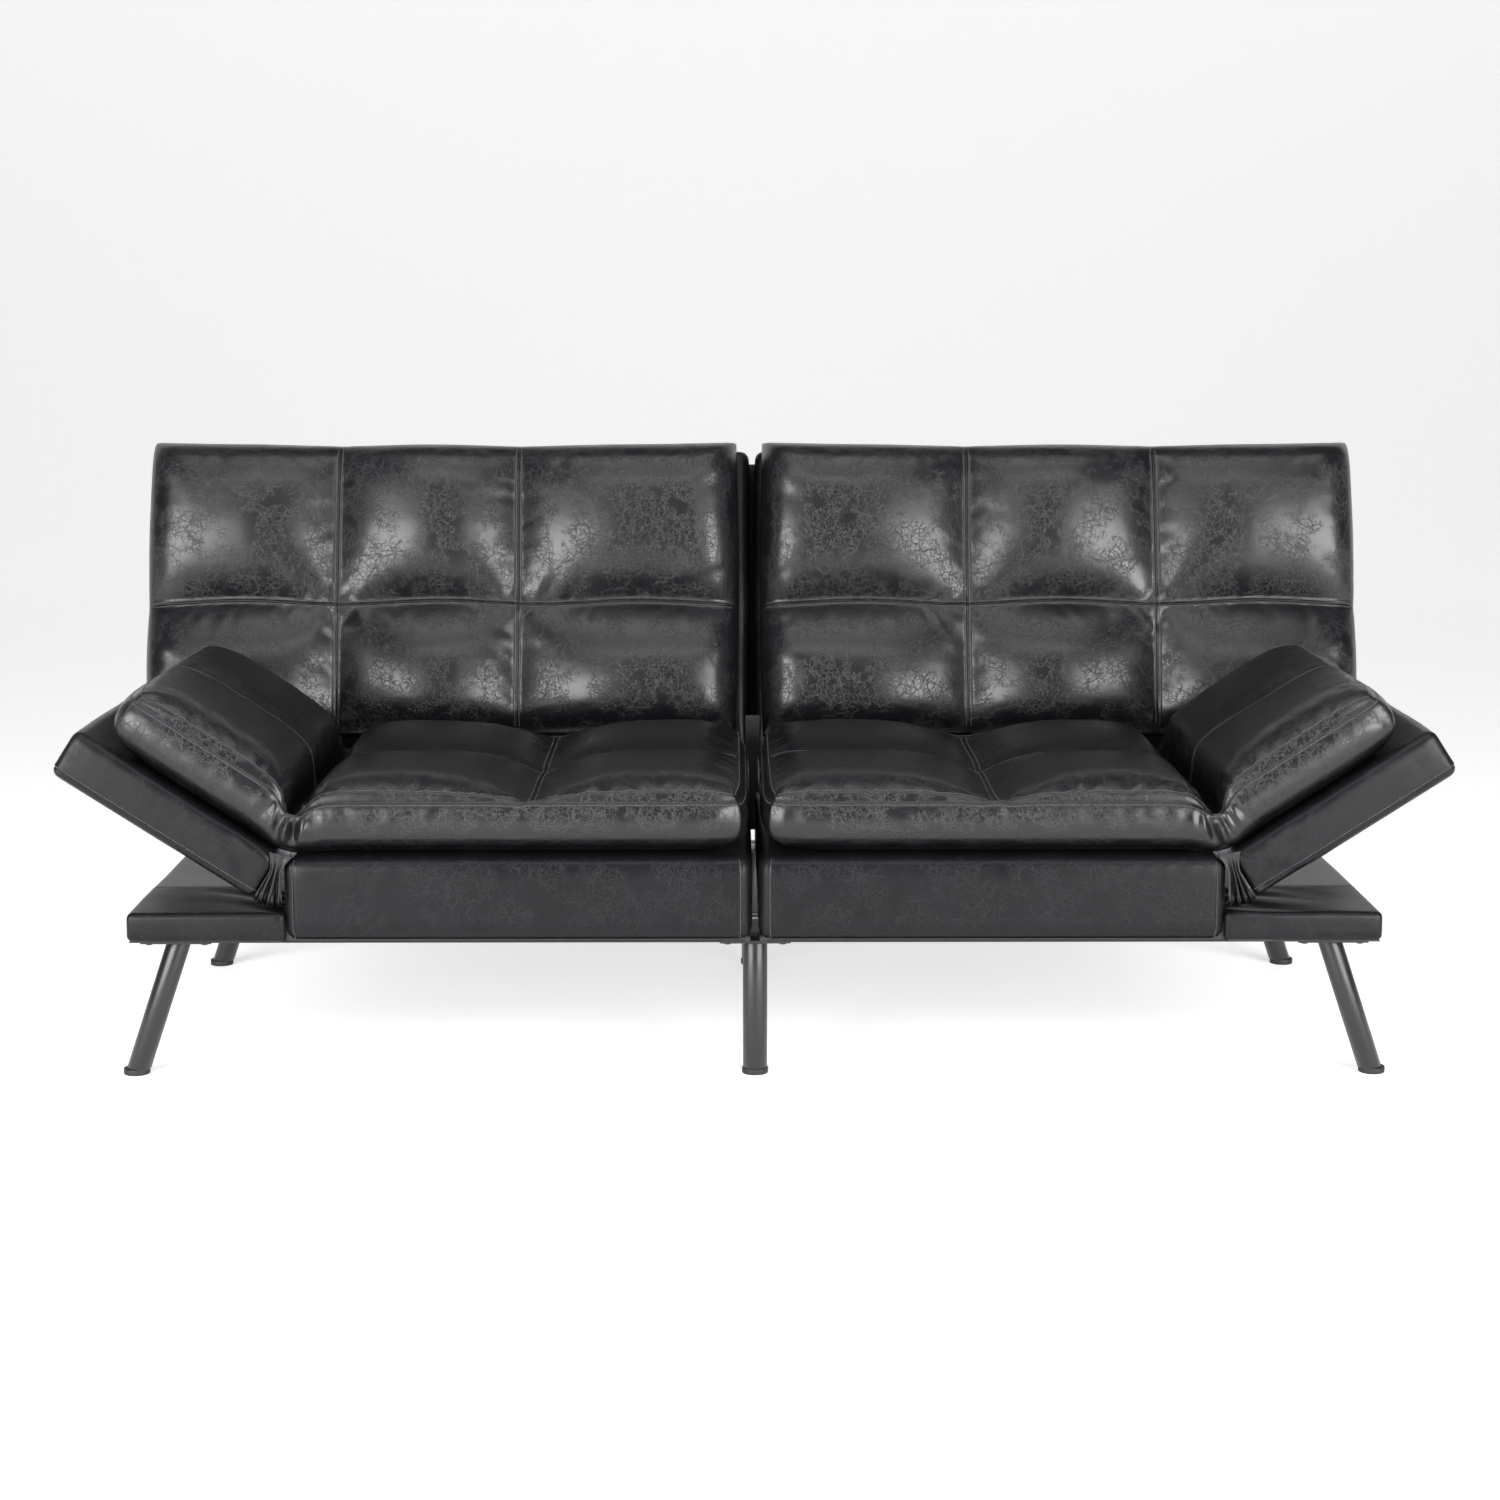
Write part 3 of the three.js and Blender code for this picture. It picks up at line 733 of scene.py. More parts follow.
# The seat cushion and the arm's cushion are one topper, sewn down at the crease between them.
# It is made flat, c along it from the arm's hinge, h up from the seat box, and then bent.
topper = {
    "inner": -594 * mm, "outer": 270 * mm, "front": -1 * mm, "rear": 536 * mm,
    "rearOnArm": 508 * mm, "row": 272 * mm, "seam": 76 * mm, "crown": 102 * mm,
    "columnDrop": 32 * mm, "creaseDrop": 56 * mm, "rowDrop": 7 * mm, "edge": 70 * mm,
    "step": 6.6 * mm, "bendHalf": 60 * mm, "turnHalf": 85 * mm, "cornerPull": 9 * mm,
    "under": 3 * mm, "underInset": 32 * mm,
    "right": {"column": -300 * mm, "seed": 61}, "left": {"column": -322 * mm, "seed": 83},
    "band": ((1.6, -2.2), (4.3, -4.6), (6.2, -8), (8.2, -14), (9.4, -22), (9.0, -31), (6.5, -39),
             (1.5, -46), (-7, -52), (-18, -57), (-30, -60)),
    "puckers": {"spacing": (10, 30), "width": (3.5, 7), "length": (6, 15), "depth": (0.7, 2.6),
                "lean": 0.6},
    "creasePuckers": {"spacing": (12, 19), "width": (4, 6.5), "length": (16, 30),
                      "depth": (4.5, 8.5), "lean": 0.4},
    "cloth": {"ease": 0.002, "pucker": 0.012, "reach": 30 * mm, "bending": 0.25, "steps": 36,
              "passes": 5, "pressure": 0.02 * mm, "cap": 6 * mm},
}


def bendOver(points, side):
    # flat places (c, y, h) to the seat and up the arm, turning smoothly at the hinge
    c, y, h = points[..., 0], points[..., 1], points[..., 2]
    reach = topper["bendHalf"]
    turn = armAngle * smoothStep((c + reach) / (2 * reach))
    x = armPivot.x + c * np.cos(turn) - h * np.sin(turn)
    z = armPivot.z + c * np.sin(turn) + h * np.cos(turn)
    return np.stack([x * side, baseFront + y, z], axis=-1)


def makeTopper(side, word):
    look = topper
    cut = look[word]
    rand = random.Random(cut["seed"])
    length = look["outer"] - look["inner"]
    depth = look["rear"] - look["front"]
    column = cut["column"] - look["inner"]
    crease = -look["inner"]
    row = look["row"] - look["front"]
    us = gridLines(length, (column, crease), edgeLines, look["step"], fine=crease)
    vs = gridLines(depth, (row,), edgeLines, look["step"])
    u, v = np.meshgrid(us, vs, indexing="ij")
    c = u + look["inner"]
    onArmShare = smoothStep((c + 40 * mm) / (80 * mm))
    rear = look["rear"] + (look["rearOnArm"] - look["rear"]) * onArmShare
    y = look["front"] + v / depth * (rear - look["front"])
    riseColumn = rise(u, crease, (column,), 2.4)
    riseColumn = np.where(u > crease, 1, riseColumn)
    nearCrease = np.abs(c)
    riseCrease = 1 - (1 - np.clip((nearCrease - 4 * mm) / (120 * mm), 0, 1)) ** 3.2
    riseRow = rise(v, depth, (row,), 2.6)
    top = (look["crown"] - look["columnDrop"] * (1 - riseColumn)
           - look["creaseDrop"] * (1 - riseCrease) - look["rowDrop"] * (1 - riseRow))
    waves = np.zeros_like(u)
    for _ in range(6):
        waves += 0.9 * mm * (np.sin(u * rand.uniform(12, 30) + rand.uniform(0, 6))
                             * np.sin(v * rand.uniform(12, 30) + rand.uniform(0, 6)))
    top = top + waves
    seamHeight = look["seam"] - 14 * mm * np.exp(-(c / (38 * mm)) ** 2)
    edge = np.minimum(np.minimum(u, length - u), np.minimum(v, depth - v))
    rollU = edgeRoll(np.minimum(u, length - u), look["edge"], 2.2)
    rollV = edgeRoll(np.minimum(v, depth - v), look["edge"], 2.2)
    h = seamHeight + (top - seamHeight) * rollU * rollV
    h += np.interp(edge, [0, 1.4 * mm, 4.3 * mm, 7 * mm], [-1.6 * mm, 0, 0.4 * mm, 0])
    inner = np.clip(edge / (12 * mm), 0, 1)
    h += (relief(u, (column,)) + relief(v, (row,)) * 0.5) * inner
    wrinkles = np.zeros_like(u)
    for seam in (column, crease):
        wrinkles += puckers(v, u - seam - 4 * mm, depth, rand, look["puckers"])
        wrinkles += puckers(v, seam - 4 * mm - u, depth, rand, look["puckers"])
    wrinkles += puckers(u, v - row - 4 * mm, length, rand, look["puckers"], 0.6)
    wrinkles += puckers(u, row - 4 * mm - v, length, rand, look["puckers"], 0.6)
    wrinkles += puckers(u, v - 2 * mm, length, rand, look["puckers"], 1.2)
    wrinkles += puckers(u, depth - 2 * mm - v, length, rand, look["puckers"])
    wrinkles += puckers(v, u - 2 * mm, depth, rand, look["puckers"])
    wrinkles += puckers(v, length - 2 * mm - u, depth, rand, look["puckers"])
    stacked = np.exp(-(c / (52 * mm)) ** 2)
    folds = puckers(u, v - 1 * mm, length, rand, look["creasePuckers"])
    folds += puckers(u, depth - 1 * mm - v, length, rand, look["creasePuckers"])
    h -= wrinkles + folds * stacked
    # rounded corners
    across, along = (u / length - 0.5) * 2, (v / depth - 0.5) * 2
    corner = np.abs(across) ** 14 * np.abs(along) ** 10
    c = c - np.sign(across) * corner * look["cornerPull"]
    y = y - np.sign(along) * corner * look["cornerPull"]
    points = np.stack([c, y, h], axis=2)
    held = edge < 2 * mm
    held |= np.abs(u - column) <= seamHalf + 1e-6
    held |= np.abs(u - crease) <= seamHalf + 1e-6
    held |= np.abs(v - row) <= seamHalf + 1e-6
    ease = easeMap(u, v, (column, crease, 0, length), (row, 0, depth), look["cloth"], rand)
    points = puff(points, held, ease, look["cloth"], 1)

    nu, nv = len(us), len(vs)
    ringIndex = rimOf(nu, nv)
    flat = points.reshape(-1, 3)
    ring = flat[ringIndex]
    ahead, behind = np.roll(ring, -1, axis=0), np.roll(ring, 1, axis=0)
    tangent = ahead - behind
    outward = np.stack([tangent[:, 1], -tangent[:, 0], np.zeros(len(ring))], axis=1)
    outward /= np.linalg.norm(outward, axis=1, keepdims=True)
    for _ in range(6):
        outward = outward + np.roll(outward, 1, axis=0) + np.roll(outward, -1, axis=0)
        outward /= np.linalg.norm(outward, axis=1, keepdims=True)
    steps = np.linalg.norm(ahead - ring, axis=1)
    run = np.concatenate([[0], np.cumsum(steps)[:-1]])
    around = float(steps.sum())
    bandDepth = np.array([-drop for _, drop in look["band"]]) * mm
    alongBand = np.repeat(run[None, :], len(look["band"]), axis=0)
    downBand = np.repeat(bandDepth[:, None], len(ring), axis=1)
    tucks = puckers(alongBand, downBand - 1 * mm, around, rand, look["puckers"], 0.35)
    deepTucks = puckers(alongBand, downBand - 1 * mm, around, rand, look["creasePuckers"])
    tucks += deepTucks * np.exp(-(ring[None, :, 0] / (42 * mm)) ** 2)
    cornerTuck = np.exp(-(np.abs(np.abs(ring[:, 1] - depth / 2) - depth / 2)
                          + np.minimum(np.abs(ring[:, 0] - look["inner"]),
                                       np.abs(ring[:, 0] - look["outer"]))) / (22 * mm))
    tucks += deepTucks * cornerTuck[None, :] * 0.6
    rings = []
    for k, (out, drop) in enumerate(look["band"]):
        place = ring + outward * out * mm
        place = place - outward * (tucks[k] * math.sin(min(1, k / 8) * math.pi))[:, None]
        place[:, 2] = look["under"] + (ring[:, 2] - look["under"]) * (1 + drop / 65)
        rings.append(place)
    allPoints = [flat] + rings
    count = len(ring)
    faces = gridFaces(nu, nv)
    loops = [ringIndex] + [nu * nv + k * count + np.arange(count) for k in range(len(rings))]
    for upper, lower in zip(loops[:-1], loops[1:]):
        for i in range(count):
            j = (i + 1) % count
            faces.append((int(upper[i]), int(lower[i]), int(lower[j]), int(upper[j])))
    # the underside, on the same lines drawn in
    inset = look["underInset"]
    low = flat.copy().reshape(nu, nv, 3)
    low[:, :, 0] = np.interp(low[:, :, 0], [look["inner"], look["outer"]],
                             [look["inner"] + inset, look["outer"] - inset])
    low[:, :, 1] = np.interp(low[:, :, 1], [look["front"], look["rear"]],
                             [look["front"] + inset, look["rear"] - inset])
    low[:, :, 2] = look["under"]
    start = nu * nv + len(rings) * count
    allPoints.append(low[1:-1, 1:-1].reshape(-1, 3))
    faces += farSide(nu, nv, ringIndex, loops[-1], start)
    bent = bendOver(np.concatenate(allPoints), side)
    if side < 0:
        faces = [face[::-1] for face in faces]
    piece = meshPiece(f"seat_and_arm_topper_{word}", bent, faces, cushionLeather)
    refine(piece)
    settle(piece)
    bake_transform(piece)
    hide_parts(f"seat_cushion_{word}", f"arm_cushion_{word}")

    topBent = bent[:nu * nv].reshape(nu, nv, 3)
    normals = gridNormals(topBent) * side
    rowsOfStitches = []
    for offset in (-stitchRow, stitchRow):
        k = int(np.argmin(np.abs(us - column - offset)))
        rowsOfStitches.append((topBent[k, 3:-3], normals[k, 3:-3]))
        k = int(np.argmin(np.abs(vs - row - offset)))
        rowsOfStitches.append((topBent[3:-3, k], normals[3:-3, k]))
    for k in (2, -3):
        rowsOfStitches.append((topBent[2:-2, k], normals[2:-2, k]))
        rowsOfStitches.append((topBent[k, 2:-2], normals[k, 2:-2]))
    bandRow = bent[loops[2]]
    outBent = bendOver(rings[1] + outward * mm, side) - bandRow
    outBent /= np.linalg.norm(outBent, axis=1, keepdims=True)
    closed = np.append(np.arange(count), 0)
    rowsOfStitches.append((bandRow[closed], outBent[closed]))
    stitches = stitchRows(f"topper_stitching_{word}", rowsOfStitches, glintedSeamThread)
    settle(stitches)
    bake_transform(stitches)


for side, word in sides:
    makeTopper(side, word)
print("seat and arm toppers")


# upholstered boards: a skin pulled tight over a foam-edged panel
boardSteps = np.array([0, 0.12, 0.35, 0.65, 1.0])


def boardLines(low, high, radius, step, marks):
    fixed = list(low + radius * boardSteps) + list(high - radius * boardSteps)
    for mark in marks:
        fixed += [mark + offset * mm for offset in (-3.2, -1.4, 0, 1.4, 3.2)]
    fixed.sort()
    lines = []
    for start, stop in zip(fixed[:-1], fixed[1:]):
        if stop - start > 0.2 * mm:
            count = max(1, round((stop - start) / step))
            lines += list(np.linspace(start, stop, count + 1)[:-1])
    return np.array(lines + [fixed[-1]])


def shell(xs, ys, zs):
    # the six sides of a block, cut along the given lines, with shared corners
    index, places, faces = {}, [], []

    def at(*key):
        if key not in index:
            index[key] = len(places)
            places.append((xs[key[0]], ys[key[1]], zs[key[2]]))
        return index[key]

    ends = (len(xs) - 1, len(ys) - 1, len(zs) - 1)
    for axis in range(3):
        a, b = [k for k in range(3) if k != axis]
        for stop in (0, ends[axis]):
            for i in range(ends[a]):
                for j in range(ends[b]):
                    corners = []
                    for di, dj in ((0, 0), (1, 0), (1, 1), (0, 1)):
                        key = [stop, stop, stop]
                        key[a], key[b] = i + di, j + dj
                        corners.append(at(*key))
                    faces.append(corners)
    return np.array(places), faces


def makeBoard(name, look, material, matrix, side, word, body, node, tucks=()):
    # low and high are in the board's own frame; marks are sewn lines across its sides
    low, high = np.array(look["low"]), np.array(look["high"])
    radius = look["radius"]
    lines = [boardLines(low[k], high[k], radius, look["step"], look["marks"].get(k, ()))
             for k in range(3)]
    grid, faces = shell(*lines)
    inner = np.clip(grid, low + radius, high - radius)
    away = grid - inner
    facing = away / np.maximum(np.linalg.norm(away, axis=1, keepdims=True), 1e-9)
    places = inner + facing * radius
    share = (places - (low + high) / 2) / ((high - low) / 2)
    hold = np.prod(1 - np.abs(share) ** 4 * (1 - np.abs(facing)), axis=1)
    rand = random.Random(look["seed"] + (0 if side > 0 else 500))
    out = look["bulge"] * np.clip(hold, 0, 1)
    for _ in range(7):
        phase = [rand.uniform(0, 6) for _ in range(3)]
        pace = [rand.uniform(9, 34) for _ in range(3)]
        out += look["waves"] * np.prod(np.sin(places * pace + phase), axis=1)
    for axis, marks in look["marks"].items():
        for mark in marks:
            out -= 1.5 * mm * np.exp(-((grid[:, axis] - mark) / (1.5 * mm)) ** 2) \
                * (1 - np.abs(facing[:, axis]))
    for faceAxis, faceSign, alongAxis, awayAxis, fromHigh, size, folds in tucks:
        gone = high[awayAxis] - grid[:, awayAxis] if fromHigh else grid[:, awayAxis] - low[awayAxis]
        shown = np.clip(facing[:, faceAxis] * faceSign, 0, 1)
        out -= shown * puckers(grid[:, alongAxis] - low[alongAxis], gone - 1 * mm,
                               high[alongAxis] - low[alongAxis], rand, folds, size)
    out = np.minimum(out, look["bulge"])
    for axis, sign in look["flat"]:  # sides that lie against a lining or pass close to a board
        out = np.where(facing[:, axis] * sign > 0.3, np.minimum(out, 0), out)
    places = places + facing * out[:, None]
    board = meshPiece(f"{name}_{word}", places, faces, material)
    faceOutward(board)
    board.data.shade_smooth()
    stitched = []
    for axis, faceAxis, faceSign, mark in look["rows"]:
        near = np.abs(grid[:, axis] - mark) < 0.2 * mm
        near &= facing[:, faceAxis] * faceSign > 0.5
        order = [k for k in range(3) if k not in (axis, faceAxis)][0]
        found = np.where(near)[0]
        found = found[np.argsort(grid[found, order])]
        stitched.append((places[found], facing[found]))
    pieces = [board]
    if stitched:
        pieces.append(stitchRows(f"{name}_stitching_{word}", stitched, glintedSeamThread))
    for piece in pieces:
        place = matrix if side > 0 else mirrorMatrix @ matrix
        settle(piece, place, side < 0)
        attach(piece, body)
    if node:
        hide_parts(node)
    return board


seatBox = {
    "low": tuple(boxLow), "high": tuple(boxHigh), "radius": 19 * mm, "step": 9 * mm,
    "bulge": 2.5 * mm, "waves": 0.35 * mm, "seed": 11, "flat": ((0, 1), (0, -1), (2, -1)),
    "marks": {0: (boxLow.x + 12 * mm, boxHigh.x - 10 * mm)},
    "rows": ((0, 1, -1, boxLow.x + 15.2 * mm), (0, 1, -1, boxHigh.x - 13.2 * mm)),
    "leatherDepth": 9,
}
sideDeck = {
    "low": (boxHigh.x - 2 * mm, deckLow.y, deckLow.z), "high": tuple(deckHigh),
    "radius": 8 * mm, "step": 9 * mm, "bulge": 1.0 * mm, "waves": 0.3 * mm, "seed": 12,
    "flat": ((0, -1), (2, -1)),
    "marks": {1: (deckLow.y + 160 * mm,)},
    "rows": ((1, 2, 1, deckLow.y + 156.8 * mm),),
    "leatherDepth": 160 * mm,
}
rearDeck = {
    "low": (deckLow.x, boxHigh.y - 2 * mm, deckLow.z),
    "high": (boxHigh.x + 2 * mm, deckHigh.y, deckHigh.z),
    "radius": 8 * mm, "step": 12 * mm, "bulge": 0.5 * mm, "waves": 0.3 * mm, "seed": 13,
    "flat": ((0, -1), (0, 1), (2, -1), (2, 1)),
    "marks": {}, "rows": (), "leatherDepth": -1,
}
armPanel = {
    "low": (2 * mm, baseFront + 2 * mm, -68 * mm), "high": (306 * mm, baseFront + 513 * mm, 0),
    "radius": 13 * mm, "step": 8 * mm, "bulge": 1.6 * mm, "waves": 0.45 * mm, "seed": 14,
    "flat": ((2, -1),),
    "marks": {2: (-58 * mm,)},
    "rows": ((2, 1, -1, -54.8 * mm), (2, 0, 1, -54.8 * mm), (2, 1, 1, -54.8 * mm)),
}
backPanel = {
    "low": (5 * mm, 40 * mm, 5 * mm), "high": (902 * mm, 108 * mm, 472 * mm),
    "radius": 15 * mm, "step": 11 * mm, "bulge": 2.0 * mm, "waves": 0.4 * mm, "seed": 15,
    "flat": ((1, 1), (1, -1)),
    "marks": {1: (96 * mm,)},
    "rows": (),
}
edgeFolds = {"spacing": (4, 22), "width": (1.8, 4), "length": (5, 13), "depth": (0.25, 0.9),
             "lean": 0.3}
endFolds = {"spacing": (14, 34), "width": (5, 9), "length": (16, 34), "depth": (1.6, 4.2),
            "lean": 0.9}


def lineTops(board, look):
    # the top from leatherDepth back, and the whole underside, are the lining cloth
    board.data.materials.append(liningCloth)
    for face in board.data.polygons:
        under = face.normal.z < -0.8
        behind = face.normal.z > 0.8 and face.center.y > look["low"][1] + look["leatherDepth"]
        face.material_index = 1 if under or behind else 0


seatBoxes, armPanels, backPanels = {}, {}, {}
for side, word in sides:
    seatBoxes[word] = makeBoard(
        "upholstered_seat_box", seatBox, boardLeather, Matrix.Identity(4), side, word, "base",
        f"seat_box_{word}", ((1, -1, 0, 2, True, 1.0, edgeFolds), (2, 1, 0, 1, False, 0.8, edgeFolds)))
    lineTops(seatBoxes[word], seatBox)
    deck = makeBoard("wing_deck_cover", sideDeck, boardLeather, Matrix.Identity(4), side, word, "base",
                     f"wing_deck_{word}", ((2, 1, 1, 0, False, 0.7, endFolds),
                                           (1, -1, 2, 0, False, 0.5, endFolds)))
    lineTops(deck, sideDeck)
    deck = makeBoard("rear_deck_cover", rearDeck, boardLeather, Matrix.Identity(4), side, word, "base",
                     None)
    lineTops(deck, rearDeck)
    armPanels[word] = makeBoard(
        "arm_panel_cover", armPanel, boardLeather, armMatrix, side, word, f"arm_{word}",
        f"arm_panel_{word}", ((1, -1, 2, 0, False, 1.0, endFolds), (2, -1, 1, 0, False, 0.8, endFolds),
                              (1, -1, 0, 2, True, 0.6, edgeFolds), (0, 1, 1, 2, True, 0.6, edgeFolds)))
    backPanels[word] = makeBoard(
        "back_panel_cover", backPanel, boardLeather, backMatrix, side, word, f"back_{word}",
        f"back_panel_{word}", ((2, 1, 0, 1, True, 0.7, edgeFolds), (0, 1, 2, 1, True, 0.7, edgeFolds)))
print("upholstered boards")


# black lining, stapled across the back of each back panel and under each half of the base
linings = {
    "back": {"low": (14 * mm, 14 * mm), "high": (893 * mm, 463 * mm), "sag": 0.5 * mm,
             "depth": 109 * mm},
    "under": {"low": (6 * mm, 4 * mm), "high": (809 * mm, 676 * mm), "sag": 0.15 * mm,
              "depth": 0.3 * mm},
}
liningLines = (70, 46)
liningWall = 0.4 * mm


def liningGrid(look, place, seed):
    rand = random.Random(seed)
    us = np.linspace(look["low"][0], look["high"][0], liningLines[0])
    vs = np.linspace(look["low"][1], look["high"][1], liningLines[1])
    u, v = np.meshgrid(us, vs, indexing="ij")
    a = (u - us[0]) / (us[-1] - us[0])
    b = (v - vs[0]) / (vs[-1] - vs[0])
    hold = np.sin(a * math.pi) ** 0.4 * np.sin(b * math.pi) ** 0.4
    out = np.zeros_like(u)
    for _ in range(9):
        out += look["sag"] * 0.5 * (np.sin(u * rand.uniform(6, 40) + rand.uniform(0, 6))
                                    * np.sin(v * rand.uniform(6, 40) + rand.uniform(0, 6)))
    out = out * hold
    verts = [place(x, y, n) for x, y, n in zip(u.ravel(), v.ravel(), out.ravel())]
    return verts, gridFaces(*liningLines)


def makeLining(name, look, place, body, node, side, seed):
    verts, faces = liningGrid(look, place, seed)
    piece = meshPiece(name, verts, faces, liningCloth)
    giveWall(piece, liningWall)
    settle(piece, Matrix.Identity(4) if side > 0 else mirrorMatrix, side < 0)
    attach(piece, body)
    if node:
        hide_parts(node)


for side, word in sides:
    makeLining(f"back_lining_{word}", linings["back"],
               lambda x, s, n: onBack(x, s, -(linings["back"]["depth"] + abs(n))), f"back_{word}",
               f"back_rear_cover_{word}", side, 21 + side)
    makeLining(f"under_lining_{word}", linings["under"],
               lambda x, y, n: Vector((x, baseFront + y,
                                       boxLow.z - linings["under"]["depth"] - abs(n))),
               "base", None, side, 27 + side)

# a strip of the same cloth closes the slit between the two halves, behind the seat boxes
slit = {"width": 20 * mm, "low": deckHigh.z + 1 * mm, "high": backPivot.z + 60 * mm,
        "depth": 3 * mm, "wall": 1.2 * mm}
flap = {"low": (-4.8 * mm, 12 * mm), "high": (5.6 * mm, 462 * mm), "depth": 96 * mm,
        "wall": 1.0 * mm}
places = [((share - 0.5) * slit["width"],
           boxHigh.y + slit["depth"] + 0.8 * mm * math.cos((share - 0.5) * 5),
           slit["low"] + (slit["high"] - slit["low"]) * k / 24)
          for k in range(25) for share in np.linspace(0, 1, 7)]
strip = meshPiece("centre_slit_lining", places, gridFaces(25, 7), liningCloth)
# and a flap on the right back panel closes the one between the two backs
places = [onBack(x, s, -flap["depth"] - 0.5 * mm * math.cos(x / (2 * mm)))
          for s in np.linspace(flap["low"][1], flap["high"][1], 40)
          for x in np.linspace(flap["low"][0], flap["high"][0], 6)]
backFlap = meshPiece("back_slit_flap", places, gridFaces(40, 6), liningCloth)
for piece, look, body in ((strip, slit, "base"), (backFlap, flap, "back_right")):
    giveWall(piece, look["wall"])
    faceOutward(piece)
    settle(piece)
    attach(piece, body)
print("linings")


# the gathered gusset that closes the wedge between the arm, the seat box and the deck
gusset = {"across": 61, "down": 37, "recess": 12 * mm, "fold": 4.2 * mm, "folds": 3.5,
          "ruffle": 1.8 * mm, "ruffles": 9, "droop": 9 * mm, "hem": 0.84, "front": 1 * mm,
          "thickness": 1.0 * mm, "drop": 66 * mm, "overBox": 15 * mm, "overArm": 12 * mm}


def makeGusset(side, word):
    look = gusset
    rand = random.Random(71 if side > 0 else 72)
    a, b = np.meshgrid(np.linspace(0, 1, look["across"]), np.linspace(0, 1, look["down"]),
                       indexing="ij")
    phase = rand.uniform(0, 6)
    skew = a + 0.07 * np.sin(a * math.pi * 2 + phase)
    # it starts wide at the top, over the rounded corners of the box and of the arm
    start = np.clip(1 - b / 0.35, 0, 1) ** 1.5
    boxX = boxHigh.x + 1.5 * mm - look["overBox"] * start
    boxZ = boxHigh.z + 1 * mm - b * look["drop"]
    corner = [onArm(0.5 * mm, 0, -share * 67 * mm) for share in (0, 1)]
    armX = corner[0].x + (corner[1].x - corner[0].x) * b + 1.5 * mm + look["overArm"] * start
    armZ = corner[0].z + (corner[1].z - corner[0].z) * b + 0.65 * look["overArm"] * start
    x = boxX + (armX - boxX) * a
    z = boxZ + (armZ - boxZ) * a - look["droop"] * np.sin(a * math.pi) * b ** 2
    fade = np.clip(b * 1.3, 0, 1)
    y = look["front"] + look["recess"] * np.sin(a * math.pi) * b
    y += look["fold"] * fade * np.sin(skew * 2 * math.pi * look["folds"] + phase) \
        * np.sin(np.clip(a, 0.02, 0.98) * math.pi) ** 0.5
    hem = np.clip((b - look["hem"]) / (1 - look["hem"]), 0, 1)
    near = np.exp(-((b - look["hem"]) / 0.09) ** 2)
    y += look["ruffle"] * (hem + near) * np.sin(skew * 2 * math.pi * look["ruffles"] + phase * 2)
    z += look["ruffle"] * 0.8 * hem * np.cos(skew * 2 * math.pi * look["ruffles"])
    y += 12 * mm * hem ** 2
    points = np.stack([x * side, baseFront + y, z], axis=2)
    faces = gridFaces(look["across"], look["down"])
    if side > 0:
        faces = [face[::-1] for face in faces]
    piece = meshPiece(f"arm_gusset_{word}", points.reshape(-1, 3), faces, cushionLeather)
    giveWall(piece, look["thickness"])
    refine(piece)
    settle(piece)
    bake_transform(piece)


for side, word in sides:
    makeGusset(side, word)
print("gussets")


# legs: 32 mm tube on a welded plate, four of them leaning out, and a plastic cap on each foot
legLook = {"radius": 16 * mm, "plate": (92 * mm, 56 * mm, 4 * mm), "weld": 2.4 * mm,
           "screw": 4.4 * mm, "screwIn": (36 * mm, 19 * mm), "capRadius": 17.2 * mm,
           "capHeight": 8 * mm}


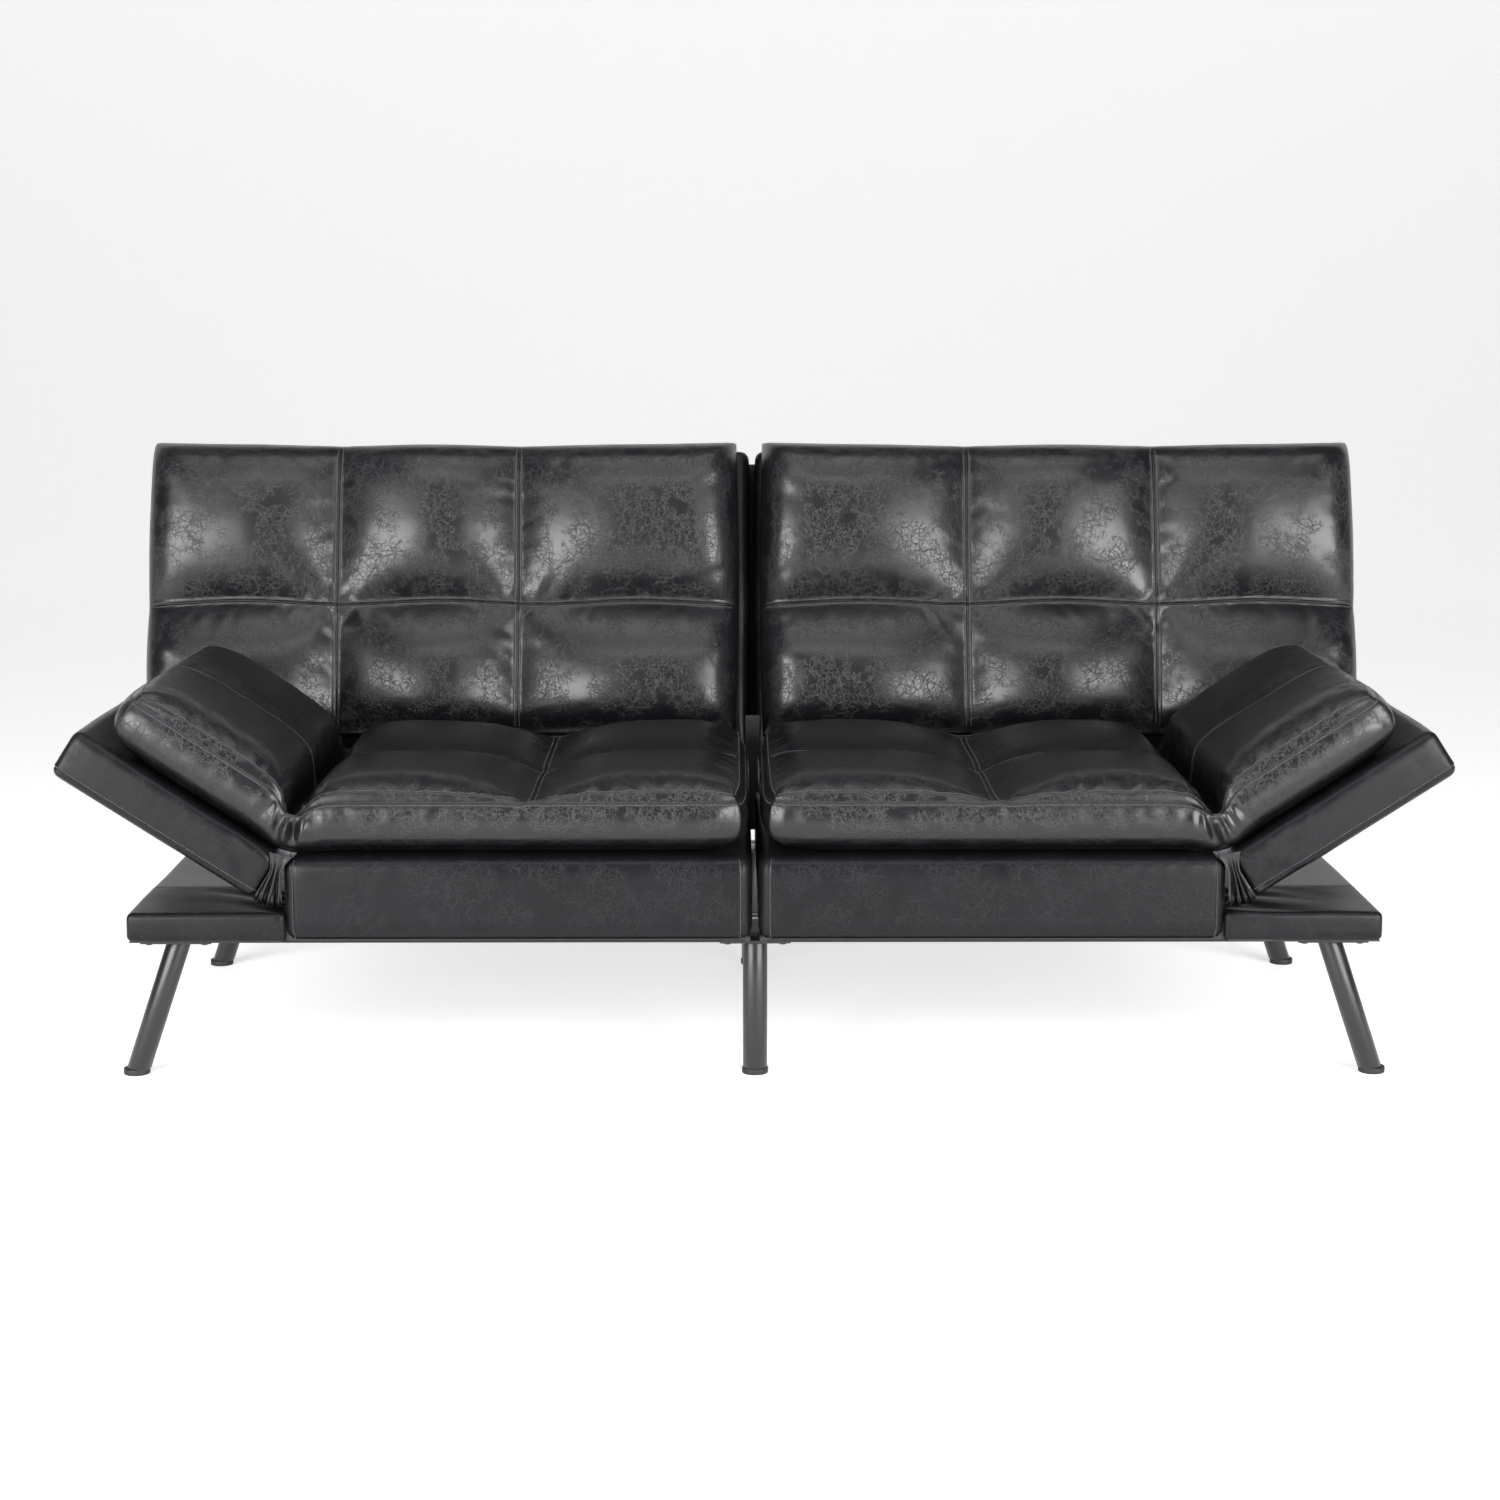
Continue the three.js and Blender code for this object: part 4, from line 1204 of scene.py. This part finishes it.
def tubeLeg(name, topX, footX, top, foot, y):
    bpy.ops.object.select_all(action="DESELECT")
    height = top - foot
    bpy.ops.mesh.primitive_cylinder_add(
        vertices=48, radius=legLook["radius"], depth=height, end_fill_type="NGON",
        location=(topX, y, foot + height / 2))
    tube = bpy.context.object
    tube.name = name
    bpy.ops.object.transform_apply(location=True)
    pickIn(tube, "vertices", lambda vertex: vertex.co.z < foot + 1 * mm)
    bpy.ops.transform.translate(value=(footX - topX, 0, 0))
    bpy.ops.object.mode_set(mode="OBJECT")
    rounded = tube.modifiers.new("rounded", "BEVEL")
    rounded.width, rounded.segments, rounded.limit_method = 0.8 * mm, 2, "ANGLE"
    applyModifiers(tube)
    plate = legLook["plate"]
    parts = [tube]
    bpy.ops.mesh.primitive_cube_add(size=1, location=(topX, y, top + plate[2] / 2))
    parts.append(bpy.context.object)
    bpy.context.object.scale = plate
    bpy.ops.object.transform_apply(scale=True)
    rounded = bpy.context.object.modifiers.new("rounded", "BEVEL")
    rounded.width, rounded.segments = 1.2 * mm, 3
    applyModifiers(bpy.context.object)
    lean = (footX - topX) / height * 2 * mm
    bpy.ops.mesh.primitive_torus_add(
        location=(topX + lean, y, top - 0.6 * mm), major_segments=48, minor_segments=8,
        major_radius=legLook["radius"] + 0.6 * mm, minor_radius=legLook["weld"])
    parts.append(bpy.context.object)
    for u, v in ((-1, -1), (1, -1), (1, 1), (-1, 1)):
        bpy.ops.mesh.primitive_cylinder_add(
            vertices=24, radius=legLook["screw"], depth=2.2 * mm,
            location=(topX + u * legLook["screwIn"][0], y + v * legLook["screwIn"][1],
                      top - 1.0 * mm))
        head = bpy.context.object
        pickIn(head, "polygons", lambda face: face.normal.z < -0.9)
        bpy.ops.mesh.inset(thickness=2.0 * mm)
        bpy.ops.mesh.extrude_region_move(TRANSFORM_OT_translate={"value": (0, 0, 1.2 * mm)})
        bpy.ops.object.mode_set(mode="OBJECT")
        parts.append(head)
    bpy.ops.object.select_all(action="DESELECT")
    for part in parts:
        part.select_set(True)
    bpy.context.view_layer.objects.active = tube
    bpy.ops.object.join()
    bpy.ops.object.transform_apply(location=True, rotation=True, scale=True)
    tube.data.materials.clear()
    tube.data.materials.append(legCoat)
    bpy.ops.object.shade_smooth_by_angle(angle=math.radians(35))
    return tube


def footCap(name, x, y):
    bpy.ops.object.select_all(action="DESELECT")
    height = legLook["capHeight"]
    bpy.ops.mesh.primitive_cylinder_add(
        vertices=48, radius=legLook["capRadius"], depth=height, location=(x, y, height / 2))
    cap = bpy.context.object
    cap.name = name
    bpy.ops.object.transform_apply(location=True)
    pickIn(cap, "polygons", lambda face: face.normal.z < -0.9)
    bpy.ops.mesh.inset(thickness=3 * mm)
    bpy.ops.mesh.inset(thickness=2 * mm)
    bpy.ops.transform.translate(value=(0, 0, 1.2 * mm))
    bpy.ops.object.mode_set(mode="OBJECT")
    rounded = cap.modifiers.new("rounded", "BEVEL")
    rounded.width, rounded.segments, rounded.limit_method = 1.1 * mm, 3, "ANGLE"
    applyModifiers(cap)
    cap.data.materials.append(footPlastic)
    bpy.ops.object.shade_smooth_by_angle(angle=math.radians(35))
    return cap


for row in ("front", "rear"):
    for spot in ("left", "centre", "right"):
        legLow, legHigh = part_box(f"leg_{row}_{spot}")
        capLow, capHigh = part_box(f"foot_cap_{row}_{spot}")
        y = (legLow.y + legHigh.y) / 2
        topX = (legLow.x + legHigh.x) / 2
        if spot != "centre":  # a corner leg's plate is at its inner end and its foot at its outer
            outer = math.copysign(1, topX)
            topX = min((legLow.x, legHigh.x), key=abs) + outer * legLook["plate"][0] / 2
            capX = max((capLow.x, capHigh.x), key=abs) - outer * legLook["capRadius"]
        else:
            capX = topX
        footX = capX - (capX - topX) * legLook["capHeight"] / legHigh.z
        leg = tubeLeg(f"tube_leg_{row}_{spot}", topX, footX, legHigh.z - 4 * mm,
                      legLook["capHeight"] - 1 * mm, y)
        cap = footCap(f"moulded_foot_{row}_{spot}", capX, y)
        for piece, node, slot in ((leg, "leg", "leg_paint"), (cap, "foot_cap", "foot_plastic")):
            settle(piece)
            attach(piece, "base")
            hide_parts(f"{node}_{row}_{spot}")
print("legs and feet")


for name, node in frame["nodes"].items():
    coat = frameCoat if name.endswith(("frame_right", "frame_left")) else zinc
    node.data.materials.clear()
    node.data.materials.append(coat)
print("steel inside")
